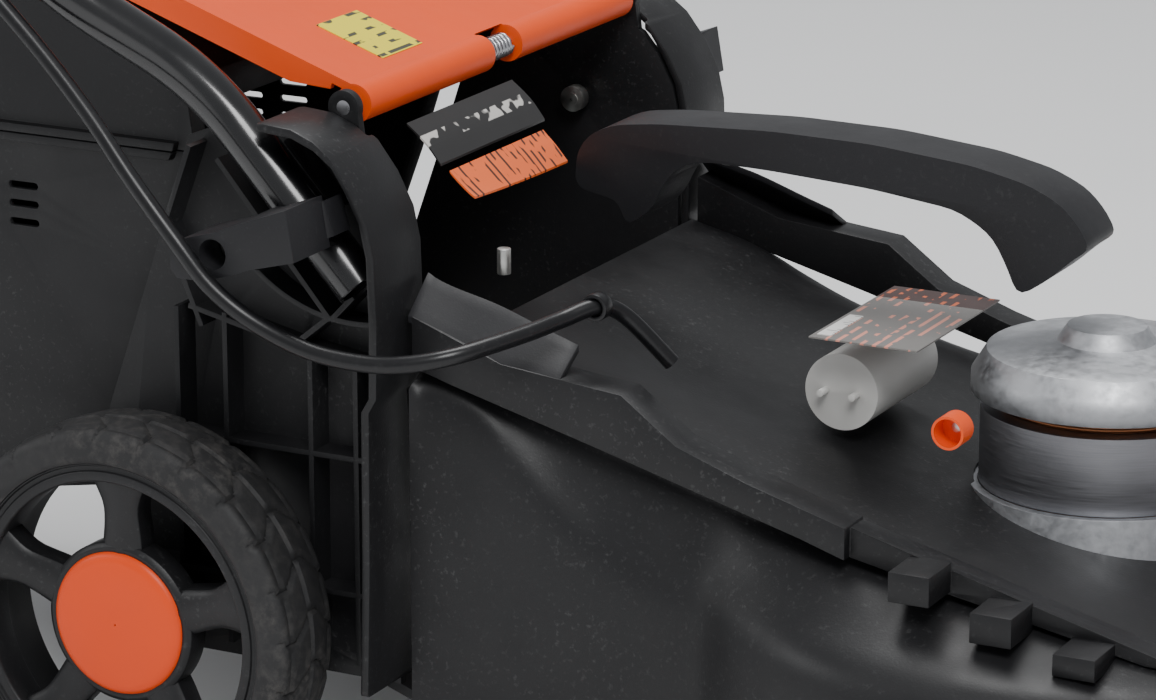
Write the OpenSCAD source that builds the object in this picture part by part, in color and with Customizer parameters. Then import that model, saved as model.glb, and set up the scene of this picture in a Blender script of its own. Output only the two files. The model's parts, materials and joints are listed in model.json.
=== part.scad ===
// Corded electric push lawn mower with a rear grass box.
// X points forward with 0 at the rear axle, Y points to the mower's left, Z is up from the ground.

/* [Wheels] */
// Rear wheel diameter
rear_wheel_d = 170; // [160:1:176]
// Rear tyre width
rear_tyre_w = 41; // [34:1:42]
// Front wheel diameter
front_wheel_d = 130; // [120:1:136]
// Front tyre width
front_tyre_w = 33; // [28:1:34]
// Distance from the rear axle to the front axle
wheelbase = 530; // [528:1:534]
// Distance from the mid plane to a wheel's outer face
wheel_face_y = 183; // [183:1:188]
// Axle rod diameter
axle_d = 12; // [10:0.5:13]

/* [Cutting deck] */
// Length of the cutting blade
blade_len = 318; // [300:1:330]
// Outer radius of the round blade housing
housing_r = 180; // [178:1:182]
// Distance from the rear axle to the blade's axis
blade_x = 360; // [358:1:362]
// Wall thickness of the moulded shells
wall = 3.5; // [3:0.1:4]

/* [Handle] */
// Handle tube diameter
tube_d = 20; // [18:0.5:20]
// Slope of the handle above the horizontal
handle_slope = 42; // [41:0.5:43]
// Length from the folding pivot to the grip bar
upper_len = 491; // [480:1:495]

/* [Lead] */
// Diameter of the motor lead
lead_d = 7; // [6:0.1:7.4]

/* [Hidden] */

$fn = 64;
eps = 0.05;
run_gap = 0.05;

orange = [0.93, 0.33, 0.11];
black = [0.16, 0.16, 0.17];
dark = [0.10, 0.10, 0.11];
steel = [0.62, 0.63, 0.65];

rear_r = rear_wheel_d / 2;
front_r = front_wheel_d / 2;
axle_r = axle_d / 2;
tube_r = tube_d / 2;
lead_r = lead_d / 2;

// Heights of the deck: its rim, the roof over the blade, and the underside of the blade
rim_z = 32;
roof_z = 122;
blade_z = 50;
// Half width of the deck's rear, and of the discharge tunnel inside the rear frame
flank_y = 140;
tunnel_y = 121.3;
panel_t = 4;
rib_y = 138;
band_y = 160;
cover_y = 121;
flare_y = 139;
basin_y = 90;
basin_z = 212;
nose_x = 600;

// Rear flap: hinge line, slope when closed, and size
hinge_x = 81;
hinge_z = 300;
rod_r = 3;
barrel_r = 8;
flap_slope = 19;
flap_len = 185;
flap_half = 116.5;

// Folding pivot of the handle, and the two planes that the tubes lie in
pivot_x = -225;
pivot_z = 532;
lower_y = 174;
upper_y = 153;
pivot_bolt_r = 4;

// Screw of the clamp lever beside the lower tube
lever_x = 60.5;
lever_z = 253;
lever_face_y = 193;
lever_screw_r = 2.9;

// Right lower tube: foot, first bend, second bend and pivot end
tube_foot = [98.2, -143, 232.2];
tube_bend = [27.7, -143, 309.2];
tube_splay = [-22, -lower_y, 349];
tube_end = [pivot_x - 12, -lower_y, pivot_z + 12 * tan(handle_slope)];

// ---------- helpers ----------

module both_sides() {
    children();
    mirror([0, 1, 0]) children();
}

// Extrudes an outline drawn in X and Z along Y, from y0 to y1
module side_slab(y0, y1) {
    translate([0, y1, 0]) rotate([90, 0, 0]) linear_extrude(y1 - y0) children();
}

// Cylinder along Y, from y0 to y1, at x and z
module cross_pin(x, z, r, y0, y1) {
    translate([x, y1, z]) rotate([90, 0, 0]) cylinder(r = r, h = y1 - y0);
}

// Solid rod between two points, with round ends
module rod(a, b, r) {
    d = b - a;
    len = norm(d);
    translate(a) rotate([0, acos(d[2] / len), atan2(d[1], d[0])]) cylinder(r = r, h = len);
    for (p = [a, b]) translate(p) sphere(r = r + 0.02);
}

// Rod between two points with flat ends
module flat_rod(a, b, r) {
    d = b - a;
    len = norm(d);
    translate(a) rotate([0, acos(d[2] / len), atan2(d[1], d[0])]) cylinder(r = r, h = len);
}

// Moves to the folding pivot; the handle runs towards -X, and +Z stands up from its plane
module on_handle() {
    translate([pivot_x, 0, pivot_z]) rotate([0, handle_slope, 0]) children();
}

function handle_point(p) = [
    pivot_x + p[0] * cos(handle_slope) + p[2] * sin(handle_slope),
    p[1],
    pivot_z - p[0] * sin(handle_slope) + p[2] * cos(handle_slope)];

// ---------- swept tube ----------

// Catmull-Rom point between p1 and p2
function blend_point(p0, p1, p2, p3, t) =
    0.5 * (2 * p1 + (p2 - p0) * t + (2 * p0 - 5 * p1 + 4 * p2 - p3) * t * t
        + (3 * p1 - p0 - 3 * p2 + p3) * t * t * t);

function smooth_path(p, n) = concat(
    [for (i = [0 : len(p) - 2], j = [0 : n - 1])
        blend_point(p[max(i - 1, 0)], p[i], p[i + 1], p[min(i + 2, len(p) - 1)], j / n)],
    [p[len(p) - 1]]);

function unit(v) = v / norm(v);

function tangent(p, i) = unit(p[min(i + 1, len(p) - 1)] - p[max(i - 1, 0)]);

// Side vector of each ring, carried along the path so the tube doesn't twist
function carried(p, i = 0, u = [0, 0, 1], out = []) =
    i == len(p) ? out :
    let (t = tangent(p, i), v = unit(u - (u * t) * t))
    carried(p, i + 1, v, concat(out, [v]));

module swept_tube(p, r, sides) {
    n = len(p);
    u = carried(p);
    points = [for (i = [0 : n - 1], k = [0 : sides - 1])
        let (w = cross(tangent(p, i), u[i]), a = 360 * k / sides)
        p[i] + r * (cos(a) * u[i] + sin(a) * w)];
    skin = [for (i = [0 : n - 2], k = [0 : sides - 1])
        let (k2 = (k + 1) % sides)
        [i * sides + k, (i + 1) * sides + k, (i + 1) * sides + k2, i * sides + k2]];
    first = [for (k = [0 : sides - 1]) k];
    last = [for (k = [0 : sides - 1]) n * sides - 1 - k];
    polyhedron(points, concat(skin, [first, last]), convexity = 8);
}

// ---------- blade housing ----------

// Plan outline of the blade housing, flanks and nose, drawn inside by the given inset
module housing_outline(inset) {
    translate([blade_x, 0]) circle(r = housing_r - inset, $fn = 128);
    translate([125 + inset, -flank_y + inset]) square([200, 2 * (flank_y - inset)]);
    translate([480, -118 + inset]) square([nose_x - 488 - inset, 2 * (118 - inset)]);
}

// Side outline of the housing: a high shoulder at the rear that falls to the flat roof
module housing_side(drop) {
    polygon([[100, rim_z - 40 * sign(drop)], [100, 191 - drop], [136, 190 - drop], [152, 185 - drop],
        [169, 166 - drop], [186, 149 - drop], [204, 136 - drop], [230, 128 - drop],
        [284, roof_z - drop], [560, roof_z - drop], [nose_x - drop, 96 - drop],
        [nose_x - drop, rim_z - 40 * sign(drop)]]);
}

module housing_solid(inset) {
    intersection() {
        translate([0, 0, -10]) linear_extrude(300) housing_outline(inset);
        side_slab(-200, 200) housing_side(inset);
    }
}

module deck_shell() color(black) {
    difference() {
        housing_solid(0);
        housing_solid(wall);
        translate([100, -tunnel_y, 0]) cube([60, 2 * tunnel_y, 218]);
        translate([blade_x, 0, 0]) cylinder(r = 52, h = 300);
        cross_pin(wheelbase, front_r, axle_r + 0.1, -200, 200);
        translate([blade_x, 0, roof_z - 10]) for (a = [45 : 90 : 315])
            rotate(a) translate([62, 0, 0]) cylinder(r = 2.2, h = 20);
    }
    both_sides() difference() {
        side_slab(117, 144) polygon([[505, 48], [552, 48], [546, 86], [514, 86]]);
        cross_pin(wheelbase, front_r, axle_r + 0.1, 100, 150);
    }
}

// ---------- rear frame: side panels, ribs and tunnel floor ----------

module panel_outline() {
    polygon([[104.5, 60], [106, 188], [109.5, 196], [109.5, 249], [106.3, 262], [99, 275.5], [91, 285],
        [76, 292.4], [64, 293.4], [20, 286],
        [8, 281], [-12, 222], [-34, 160], [-34, 104], [-22, 66], [-10, 60]]);
}

// Thin rib between two points of the panel
module rib(a, b) {
    d = b - a;
    translate(a) rotate(atan2(d[1], d[0])) translate([0, -1.1]) square([norm(d), 2.2]);
}

module ribs() {
    // fan of ribs around the tube's socket
    rib([29, 276], [81, 215]);
    rib([61, 287], [83, 261]);
    rib([81, 215], [100, 235]);
    rib([80, 216], [64, 203]);
    rib([14, 213], [60, 203]);
    rib([60, 203], [108, 196]);
    rib([3, 245], [20, 205]);
    rib([3, 245], [16, 280]);
    // upright ribs behind the wheel
    for (x = [8, 31, 71, 92]) rib([x, 70], [x, x < 60 ? 212 : 198]);
    for (z = [100, 158]) rib([-20, z], [108, z]);
    // arched rib
    difference() {
        translate([92, 285]) circle(r = 71);
        translate([92, 285]) circle(r = 68.8);
        translate([20, 214]) square([1, 200]);
        translate([-60, 232]) square([300, 200]);
        translate([109, 180]) square([80, 80]);
        translate([-60, 150]) square([90, 100]);
    }
}

module rear_frame() color(dark) {
    both_sides() difference() {
        union() {
            side_slab(tunnel_y, tunnel_y + panel_t) panel_outline();
            side_slab(tunnel_y + panel_t - eps, rib_y) intersection() {
                ribs();
                panel_outline();
            }
            // bosses of the axle, hinge rod and lever screw
            cross_pin(0, rear_r, 13, tunnel_y, rib_y);
            cross_pin(hinge_x, hinge_z, 7, tunnel_y, tunnel_y + panel_t);
            side_slab(tunnel_y, tunnel_y + panel_t) polygon([[72, 280], [90, 280], [87, 302], [75, 302]]);
            cross_pin(lever_x, lever_z, 6, tunnel_y, 131);
        }
        cross_pin(0, rear_r, axle_r + 0.1, 100, 200);
        cross_pin(hinge_x, hinge_z, rod_r + 0.02, 100, 200);
        cross_pin(lever_x, lever_z, lever_screw_r + 0.02, 100, 200);
        // seat of the handle tube
        mirror([0, 1, 0]) rod(tube_foot, tube_bend, tube_r + 0.3);
    }
    // floor of the discharge tunnel, rising to the rear
    side_slab(-tunnel_y - 1, tunnel_y + 1)
        polygon([[-32, 107], [-32, 111], [100, 60], [120, 52], [120, 48], [98, 56]]);
}

// ---------- arch bands ----------

module arch_outline(inset) {
    polygon([[50, 297 - inset], [64, 299 - inset], [77, 298 - inset], [87, 294 - inset],
        [95, 288 - inset], [104 - inset, 276.5], [111 - inset, 263], [114 - inset, 249.5],
        [115 - inset, 221], [114.5 - inset, 192], [111 - inset, 186], [110.5 - inset, 120],
        [109 - inset, 66], [50, 66]]);
}

module band_strip() {
    difference() {
        arch_outline(0);
        arch_outline(4);
        translate([40, 50]) square([21, 280]);
    }
}

module arch_band() color(black) {
    side_slab(tunnel_y + panel_t + 0.2, band_y) band_strip();
    side_slab(tunnel_y, tunnel_y + panel_t + 0.3) intersection() {
        band_strip();
        translate([92, 50]) square([40, 280]);
    }
}

module arch_band_left() arch_band();

module arch_band_right() mirror([0, 1, 0]) arch_band();

// ---------- orange top cover ----------

// Side outline of the cover's ridges, from the rear beam to the nose
module cover_side(drop) {
    sink = 9 * sign(drop);
    polygon([[93 + drop, 226 - sink], [93 + drop, 290 - drop], [104 + drop, 281 - drop],
        [114 + drop, 267 - drop], [126, 260 - drop], [149, 255 - drop], [171, 250 - drop],
        [216, 239 - drop], [249, 232.5 - drop], [292, 225.5 - drop], [354, 219 - drop],
        [414, 208.5 - drop], [500, 192 - drop], [560 - drop, 170 - drop], [597 - drop, 145 - drop],
        [597 - drop, 123 - sink], [470, 123 - sink], [431, 128.6 - sink], [331, 160.7 - sink],
        [267.5, 181 - sink], [250, 188.7 - sink], [216, 204.8 - sink], [171, 220.6 - sink],
        [122, 235 - sink]]);
}

// Cross section of the ridges: straight to the beam's width, then sloping out to the flare
module cover_section(inset) {
    rotate([90, 0, 90]) linear_extrude(700) for (m = [0, 1]) mirror([m, 0])
        polygon([[-1, 0], [-1, 400], [cover_y - inset, 400], [cover_y + 3 - inset, 234 - inset],
            [flare_y - 2 - inset, 198 - inset], [flare_y - inset, 190], [flare_y - inset, 0]]);
}

// Plan of the cover: as wide as the beam, then flared, with a round nose
module cover_plan(inset) {
    linear_extrude(400) {
        for (m = [0, 1]) mirror([0, m]) polygon([[90, -1], [90, cover_y - inset], [216, cover_y - inset],
            [250, flare_y - inset], [nose_x - 3 - flare_y, flare_y - inset], [nose_x - 3 - flare_y, -1]]);
        translate([nose_x - 3 - flare_y, 0]) circle(r = flare_y - inset, $fn = 128);
    }
}

// Hood over the motor, rising from the basin's floor
module cover_hood(drop) {
    intersection() {
        side_slab(-flare_y, flare_y) polygon([[309 + drop, 180], [309 + drop, basin_z - drop],
            [334 + drop, 236 - drop], [351 + drop, 252 - drop], [374 + drop, 274 - drop], [400, 288 - drop],
            [440, 297 - drop], [490, 292 - drop], [540 - drop, 268 - drop], [580 - drop, 220 - drop],
            [597 - drop, 160 - drop], [597 - drop, 140], [400, 140]]);
        rotate([90, 0, 90]) linear_extrude(700) for (m = [0, 1]) mirror([m, 0])
            polygon([[-1, 0], [-1, 400], [30, 400], [45, 297 - drop], [75 - drop, 276 - drop],
                [93 - drop, 240 - drop], [100 - drop, 222 - drop], [100 - drop, 0]]);
    }
}

// Sunken basin under the carry handle; its front wall is the hood's rear slope
module cover_basin(grow) {
    side_slab(-basin_y - grow, basin_y + grow) polygon([[126 - grow, 300], [126 - grow, 251 - grow],
        [148 - grow, 246.5 - grow], [172 - grow, basin_z - grow], [309 + 0.4 * grow, basin_z - grow],
        [326 + 0.7 * grow, 229 - 0.7 * grow], [326 + 0.7 * grow, 300]]);
}

module cover_solid(inset) {
    intersection() {
        union() {
            difference() {
                side_slab(-flare_y, flare_y) cover_side(inset);
                cover_basin(inset);
            }
            cover_hood(inset);
        }
        cover_section(inset);
        cover_plan(inset);
    }
}

// Screws that hold the cover: one in each flare, one in each ridge
flare_screw = [345, 202];
ridge_screw = [142, 104];

module top_cover() color(orange) {
    difference() {
        union() {
            difference() {
                cover_solid(0);
                cover_solid(wall);
            }
            intersection() {
                cover_solid(0);
                both_sides() cross_pin(flare_screw[0], flare_screw[1], 8, 124, 150);
            }
        }
        // arched slot that the lead leaves by
        mirror([0, 1, 0]) {
            cross_pin(192.5, 231, 6.5, 110, 130);
            translate([186, 110, 200]) cube([13, 20, 31]);
        }
        both_sides() {
            cross_pin(flare_screw[0], flare_screw[1], 5.5, 129, 150);
            cross_pin(flare_screw[0], flare_screw[1], 2.5, 110, 150);
            translate([ridge_screw[0], ridge_screw[1], 200]) cylinder(r = 3, h = 100);
        }
        // air slots at the front of the hood
        for (i = [-4 : 4])
            translate([480, i * 14 - 2.5, 180]) cube([120, 5, 60]);
    }
}

// ---------- side rails with their teeth ----------

tooth_x = 333;
tooth_pitch = 33.5;
tooth_drop = 10.9;
tooth_top = 153.5;

module side_rail() color(black) {
    side_slab(cover_y + 0.3, flare_y) polygon([[119, 222], [159, 207.5], [212, 202], [236, 184.5],
        [266, 174], [308, 162], [308, 149], [289, 155], [203, 178.5], [136, 196], [119, 201]]);
    side_slab(cover_y + 0.3, flare_y - 5) polygon([[308, 161], [308, 149], [430, 124.5], [450, 124.5]]);
    for (i = [0 : 3]) let (top = tooth_top - i * tooth_drop, foot = max(top - 12, roof_z + 1))
        translate([tooth_x + i * tooth_pitch, flare_y - 6, foot]) cube([17, 22, top - foot]);
}

module side_rail_left() side_rail();

module side_rail_right() mirror([0, 1, 0]) side_rail();

// ---------- carry handle ----------

handle_half = 15;

module carry_handle() color(black) {
    side_slab(-handle_half, handle_half) difference() {
        polygon([[128, 256], [130, 266], [142, 276], [166, 279.5], [217, 282], [262, 281.5], [306, 277.5],
            [330, 272.5], [346, 266], [356, 256], [350, 249], [337, 238], [327, 228], [321, 240],
            [316, 251], [300, 258.5], [262, 263], [217, 265.5], [190, 266], [176, 263], [168, 256],
            [163, 244.5], [150, 246], [131, 249.5]]);
        translate([140, 264.5]) circle(r = 2.2);
    }
}

// ---------- motor ----------

motor_r = 50;
motor_top = 215;
core_z = 150;
core_h = 32;
bearing_r = 14;

module turned(x, points) {
    translate([x, 0, 0]) rotate_extrude($fn = 96) polygon(points);
}

module motor_lower_bell() color(steel) {
    difference() {
        turned(blade_x, [[7, 98], [20, 98], [24, 112], [51, 116], [51, roof_z + 0.2], [68, roof_z + 0.2],
            [68, 128], [54, 128], [54, 150], [50.2, 150], [50.2, 124], [20, 122], [bearing_r, 114],
            [bearing_r, 104], [7, 104]]);
        translate([blade_x, 0, 90]) for (a = [45 : 90 : 315])
            rotate(a) translate([62, 0, 0]) cylinder(r = 2.2, h = 60);
    }
}

module motor_upper_bell() color(steel) {
    turned(blade_x, [[54, motor_top - 27], [54, motor_top - 20], [48, motor_top - 10], [20, motor_top - 6],
        [16, motor_top], [0, motor_top], [0, motor_top - 3.4], [bearing_r - 2, motor_top - 3.4],
        [bearing_r, motor_top - 4.6], [bearing_r, motor_top - 13], [44, motor_top - 18],
        [50.2, motor_top - 24], [50.2, motor_top - 27]]);
}

module stator_core() color(steel) {
    difference() {
        translate([blade_x, 0, core_z]) cylinder(r = motor_r, h = core_h);
        translate([blade_x, 0, 140]) cylinder(r = 28.5, h = 60);
        translate([blade_x, 0, 140]) for (a = [0 : 15 : 345])
            rotate(a) translate([33, 0, 0]) cylinder(r = 2.4, h = 60, $fn = 16);
    }
}

module stator_windings() color([0.72, 0.40, 0.18]) {
    for (z = [core_z - 14, core_z + core_h + 0.2])
        translate([blade_x, 0, z]) difference() {
            cylinder(r = 42, h = 11);
            translate([0, 0, -1]) cylinder(r = 30, h = 20);
        }
}

module bearing(z) {
    turned(blade_x, [[6.02, z], [8.5, z], [8.5, z + 1], [11.5, z + 1], [11.5, z], [13.98, z],
        [13.98, z + 8], [11.5, z + 8], [11.5, z + 7], [8.5, z + 7], [8.5, z + 8], [6.02, z + 8]]);
}

module lower_bearing() color(steel) bearing(104.2);

module upper_bearing() color(steel) bearing(motor_top - 12.8);

module capacitor() color([0.85, 0.85, 0.83]) {
    translate([262, -40, 184]) rotate([-90, 0, 0]) {
        cylinder(r = 16, h = 62);
        translate([-7, 0, -6]) cylinder(r = 1.5, h = 7);
        translate([7, 0, -6]) cylinder(r = 1.5, h = 7);
    }
}

module screw(r, len, head_r, head_h) {
    cylinder(r = r, h = len);
    translate([0, 0, len - eps]) difference() {
        cylinder(r = head_r, h = head_h);
        translate([0, 0, head_h - 1.2]) for (a = [0, 90])
            rotate(a) cube([head_r * 1.2, 0.9, 3], center = true);
    }
}

module motor_screws() color(steel) {
    translate([blade_x, 0, 114]) for (a = [45 : 90 : 315])
        rotate(a) translate([62, 0, 0]) screw(2.15, 14.1, 4.2, 3);
}

module cover_screws() color(steel) {
    both_sides() {
        translate([flare_screw[0], 118, flare_screw[1]]) rotate([-90, 0, 0]) screw(2.1, 12, 4.6, 2.6);
        translate([ridge_screw[0], ridge_screw[1], 244]) screw(2.0, 10, 2.8, 1.6);
    }
}

// ---------- rotor and blade ----------

module motor_shaft() color(steel) {
    difference() {
        translate([blade_x, 0, 58]) cylinder(r = 6, h = motor_top - 62.4);
        translate([blade_x, 0, 50]) cylinder(r = 3.5, h = 30);
    }
}

module rotor_core() color([0.45, 0.45, 0.47]) {
    turned(blade_x, [[6.02, core_z - 2], [26, core_z - 2], [28, core_z], [28, core_z + core_h],
        [26, core_z + core_h + 2], [6.02, core_z + core_h + 2]]);
}

module cooling_fan() color(black) {
    turned(blade_x, [[6.02, 126.5], [12, 126.5], [28, 128.5], [28, 130], [12, 129.5], [12, 134], [6.02, 134]]);
    translate([blade_x, 0, 128.9]) for (a = [0 : 40 : 320])
        rotate(a) translate([11.3, -0.75, 0]) cube([15, 1.5, 4.6]);
}

module blade_carrier() color(dark) {
    difference() {
        turned(blade_x, [[6.02, 58], [6.02, 86], [16, 86], [20, 66], [36, 62], [36, blade_z + 4.1],
            [5, blade_z + 4.1], [5, 58]]);
        for (s = [-1, 1]) translate([blade_x, s * 14, 45]) cylinder(r = 3, h = 12);
    }
}

module blade() color([0.30, 0.31, 0.33]) {
    half = blade_len / 2;
    difference() {
        union() {
            translate([blade_x - 25, -half + 50, blade_z]) cube([50, blade_len - 100, 4]);
            intersection() {
                for (s = [0, 180]) translate([blade_x, 0, 0]) rotate(s)
                    rotate([90, 0, 0]) linear_extrude(half)
                        polygon([[-25, blade_z], [20, blade_z], [25, blade_z + 2], [20, blade_z + 4],
                            [-12, blade_z + 4], [-22, blade_z + 14], [-26, blade_z + 12]]);
                difference() {
                    translate([blade_x, 0, blade_z - 1]) cylinder(r = half, h = 20);
                    translate([blade_x - 60, -half + 50 + eps, 0]) cube([120, blade_len - 100 - 2 * eps, 100]);
                }
            }
        }
        translate([blade_x, 0, 0]) cylinder(r = 4.2, h = 100);
        for (s = [-1, 1]) translate([blade_x, s * 14, 0]) cylinder(r = 3, h = 100);
    }
}

module blade_bolt() color(steel) {
    translate([blade_x, 0, blade_z - 9]) cylinder(r = 7.5, h = 7, $fn = 6);
    translate([blade_x, 0, blade_z - 2.2]) cylinder(r = 15, h = 2.1);
    translate([blade_x, 0, blade_z - 3]) cylinder(r = 3.4, h = 28);
}

// ---------- wheels ----------

// Draws a wheel's parts about the Y axis, with the outer face at y = 0 and the tyre towards +Y
module wheel_place(x, r, side) {
    translate([x, side * wheel_face_y, r]) rotate([side > 0 ? 90 : -90, 0, 0]) children();
}

module tyre(r, w) color(dark) {
    bead = r - 15.5;
    rotate_extrude($fn = 96) polygon([[bead, 2], [bead + 3, 0.5], [r - 5, 0.5], [r - 1.5, 3], [r, w * 0.35],
        [r, w * 0.65], [r - 1.5, w - 3], [r - 5, w - 0.5], [bead + 3, w - 0.5], [bead, w - 2]]);
}

module rim(r, w, cap_r) color(black) {
    bead = r - 15.5;
    difference() {
        union() {
            rotate_extrude($fn = 96) polygon([[bead - 7, 3], [bead - 0.02, 1.5], [bead - 0.02, w - 2],
                [bead - 5, w - 2], [bead - 5, w * 0.5], [bead - 7, w * 0.5]]);
            for (a = [0 : 72 : 288]) rotate(a + 88)
                translate([0, 0, 7]) linear_extrude(w * 0.35)
                    polygon([[cap_r + 1, -10], [cap_r + 1, 10], [bead - 6, 15], [bead - 6, -15]]);
            translate([0, 0, 9]) cylinder(r = cap_r + 1.5, h = w - 12);
        }
        translate([0, 0, -5]) cylinder(r = axle_r + 0.06, h = 80);
        translate([0, 0, 8]) cylinder(r = cap_r - 2, h = 5);
    }
}

module hub_cap(cap_r) color(orange) {
    rotate_extrude($fn = 96) polygon([[0, 4.6], [cap_r * 0.6, 5], [cap_r - 1, 6.2], [cap_r, 7.4],
        [cap_r, 8.9], [cap_r - 2.05, 8.9], [cap_r - 2.05, 12], [cap_r - 4, 12], [cap_r - 4, 8.6], [0, 7.6]]);
}

rear_cap_r = 30.8;
front_cap_r = 23;

module rear_right_tyre() wheel_place(0, rear_r, -1) tyre(rear_r, rear_tyre_w);

module rear_right_rim() wheel_place(0, rear_r, -1) rim(rear_r, rear_tyre_w, rear_cap_r);

module rear_right_cap() wheel_place(0, rear_r, -1) hub_cap(rear_cap_r);

module rear_left_tyre() wheel_place(0, rear_r, 1) tyre(rear_r, rear_tyre_w);

module rear_left_rim() wheel_place(0, rear_r, 1) rim(rear_r, rear_tyre_w, rear_cap_r);

module rear_left_cap() wheel_place(0, rear_r, 1) hub_cap(rear_cap_r);

module front_right_tyre() wheel_place(wheelbase, front_r, -1) tyre(front_r, front_tyre_w);

module front_right_rim() wheel_place(wheelbase, front_r, -1) rim(front_r, front_tyre_w, front_cap_r);

module front_right_cap() wheel_place(wheelbase, front_r, -1) hub_cap(front_cap_r);

module front_left_tyre() wheel_place(wheelbase, front_r, 1) tyre(front_r, front_tyre_w);

module front_left_rim() wheel_place(wheelbase, front_r, 1) rim(front_r, front_tyre_w, front_cap_r);

module front_left_cap() wheel_place(wheelbase, front_r, 1) hub_cap(front_cap_r);

axle_end = wheel_face_y - 14;

module rear_axle() color(steel) cross_pin(0, rear_r, axle_r, -axle_end, axle_end);

module front_axle() color(steel) cross_pin(wheelbase, front_r, axle_r, -axle_end, axle_end);

// ---------- rear flap ----------

module hinge_rod() color(steel) {
    cross_pin(hinge_x, hinge_z, rod_r, -tunnel_y - panel_t, tunnel_y + panel_t);
}

module flap_plate() {
    // skin of the flap with a turned-down rear lip, drawn along the closed slope
    side_slab(-flap_half, flap_half) polygon([[-2, 3.5], [-2, 7], [-flap_len, 7], [-flap_len - 4, 3],
        [-flap_len - 4, -7], [-flap_len - 1, -7], [-flap_len - 1, 3], [-flap_len, 3.8]]);
    both_sides() side_slab(flap_half - 3, flap_half)
        polygon([[-12, 4], [-flap_len - 1, 4], [-flap_len - 1, -4], [-30, -4], [-12, 1]]);
    for (y = [-80, -40, 40, 80])
        side_slab(y - 1.5, y + 1.5) polygon([[-6, 3.6], [-flap_len, 3.6], [-flap_len, 0.5], [-14, 0.5]]);
}

module rear_flap() color(orange) {
    difference() {
        union() {
            translate([hinge_x, 0, hinge_z]) rotate([0, flap_slope, 0]) flap_plate();
            for (s = [-1, 1])
                cross_pin(hinge_x, hinge_z, barrel_r, s > 0 ? 12 : -flap_half, s > 0 ? flap_half : -12);
        }
        cross_pin(hinge_x, hinge_z, rod_r + run_gap, -200, 200);
        cross_pin(hinge_x, hinge_z, barrel_r + 0.5, -12, 12);
    }
}

module flap_spring() color(steel) {
    turns = 7;
    steps = 10;
    swept_tube([for (i = [0 : turns * steps]) let (a = 360 * i / steps)
        [hinge_x + 4.6 * cos(a), -10 + 20 * i / (turns * steps), hinge_z + 4.6 * sin(a)]], 0.9, 8);
}

// ---------- grass box ----------

box_half = 112;
box_wall = 3;

// Side outline of the whole grass box, drawn inside by the given inset
module box_outline(inset) {
    polygon([[2 - inset, 276], [-16 - inset, 222], [-40 - inset, 158], [-44 - inset, 120 + inset],
        [-90, 112 + inset], [-380 + inset, 126 + inset], [-402 + inset, 150 + inset],
        [-412 + inset, 270], [-404 + inset, 300 - inset], [-380 + inset, 318 - inset], [-250, 338 - inset],
        [-112, 341 - inset], [-20, 309 - inset], [-2 - inset, 300 - inset]]);
}

module box_solid(inset) {
    side_slab(-box_half + inset, box_half - inset) box_outline(inset);
}

module box_mouth() {
    translate([-60, -box_half + 10, 128]) cube([100, 2 * box_half - 20, 158]);
}

module grass_box_body() color(black) {
    difference() {
        union() {
            difference() {
                box_solid(0);
                box_solid(box_wall);
            }
            // seam flange
            difference() {
                side_slab(-box_half - 4, box_half + 4) polygon([[-8, 266], [-414, 266], [-414, 270], [-6, 270]]);
                translate([-410, -box_half + box_wall, 260]) cube([395, 2 * (box_half - box_wall), 20]);
            }
        }
        translate([-500, -200, 270]) cube([600, 400, 200]);
        box_mouth();
        // vents in both flanks and in the rear wall
        for (x = [-90 : -24 : -350], z = [229, 237, 245])
            translate([x, -200, z]) cube([14, 400, 3]);
        for (y = [-80 : 24 : 70], z = [190, 200, 210])
            translate([-430, y, z]) cube([60, 14, 3]);
    }
}

module grass_box_lid() color(dark) {
    difference() {
        union() {
            difference() {
                box_solid(0);
                box_solid(box_wall);
            }
            difference() {
                side_slab(-box_half - 4, box_half + 4)
                    polygon([[-6, 270.3], [-414, 270.3], [-414, 274], [-5, 274]]);
                translate([-410, -box_half + box_wall, 260]) cube([395, 2 * (box_half - box_wall), 20]);
            }
            // carrying grip on top
            side_slab(-50, 50) difference() {
                polygon([[-210, 338], [-214, 356], [-222, 364], [-276, 362], [-284, 354], [-290, 329]]);
                polygon([[-224, 341], [-226, 350], [-230, 353], [-270, 352], [-274, 348], [-276, 335]]);
            }
        }
        translate([-500, -200, 70.3]) cube([600, 400, 200]);
        box_mouth();
    }
}

// ---------- handle ----------

module lower_tube() color(dark) {
    difference() {
        union() {
            flat_rod(tube_foot, tube_bend, tube_r);
            rod(tube_bend, tube_splay, tube_r);
            flat_rod(tube_splay, tube_end, tube_r);
        }
        flat_rod(tube_foot - 2 * unit(tube_bend - tube_foot), tube_bend, tube_r - 1.5);
        rod(tube_bend, tube_splay, tube_r - 1.5);
        flat_rod(tube_splay, tube_end + 2 * unit(tube_end - tube_splay), tube_r - 1.5);
        cross_pin(pivot_x, pivot_z, pivot_bolt_r + run_gap, -200, -150);
    }
}

module lower_tube_right() lower_tube();

module lower_tube_left() mirror([0, 1, 0]) lower_tube();

module pivot_bolts() color(steel) {
    both_sides() {
        cross_pin(pivot_x, pivot_z, pivot_bolt_r, 141, 196);
        cross_pin(pivot_x, pivot_z, 8, 138, 141);
        difference() {
            cross_pin(pivot_x, pivot_z, 9, upper_y + tube_r + 0.2, lower_y - tube_r - 0.1);
            cross_pin(pivot_x, pivot_z, pivot_bolt_r - 0.5, 150, 180);
        }
    }
}

module lever_screws() color(steel) {
    both_sides() {
        cross_pin(lever_x, lever_z, lever_screw_r, 112, 178);
        cross_pin(lever_x, lever_z, 5.4, 172.2, 178);
        cross_pin(lever_x, lever_z, 5.8, 112.5, 117.8);
    }
}

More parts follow.
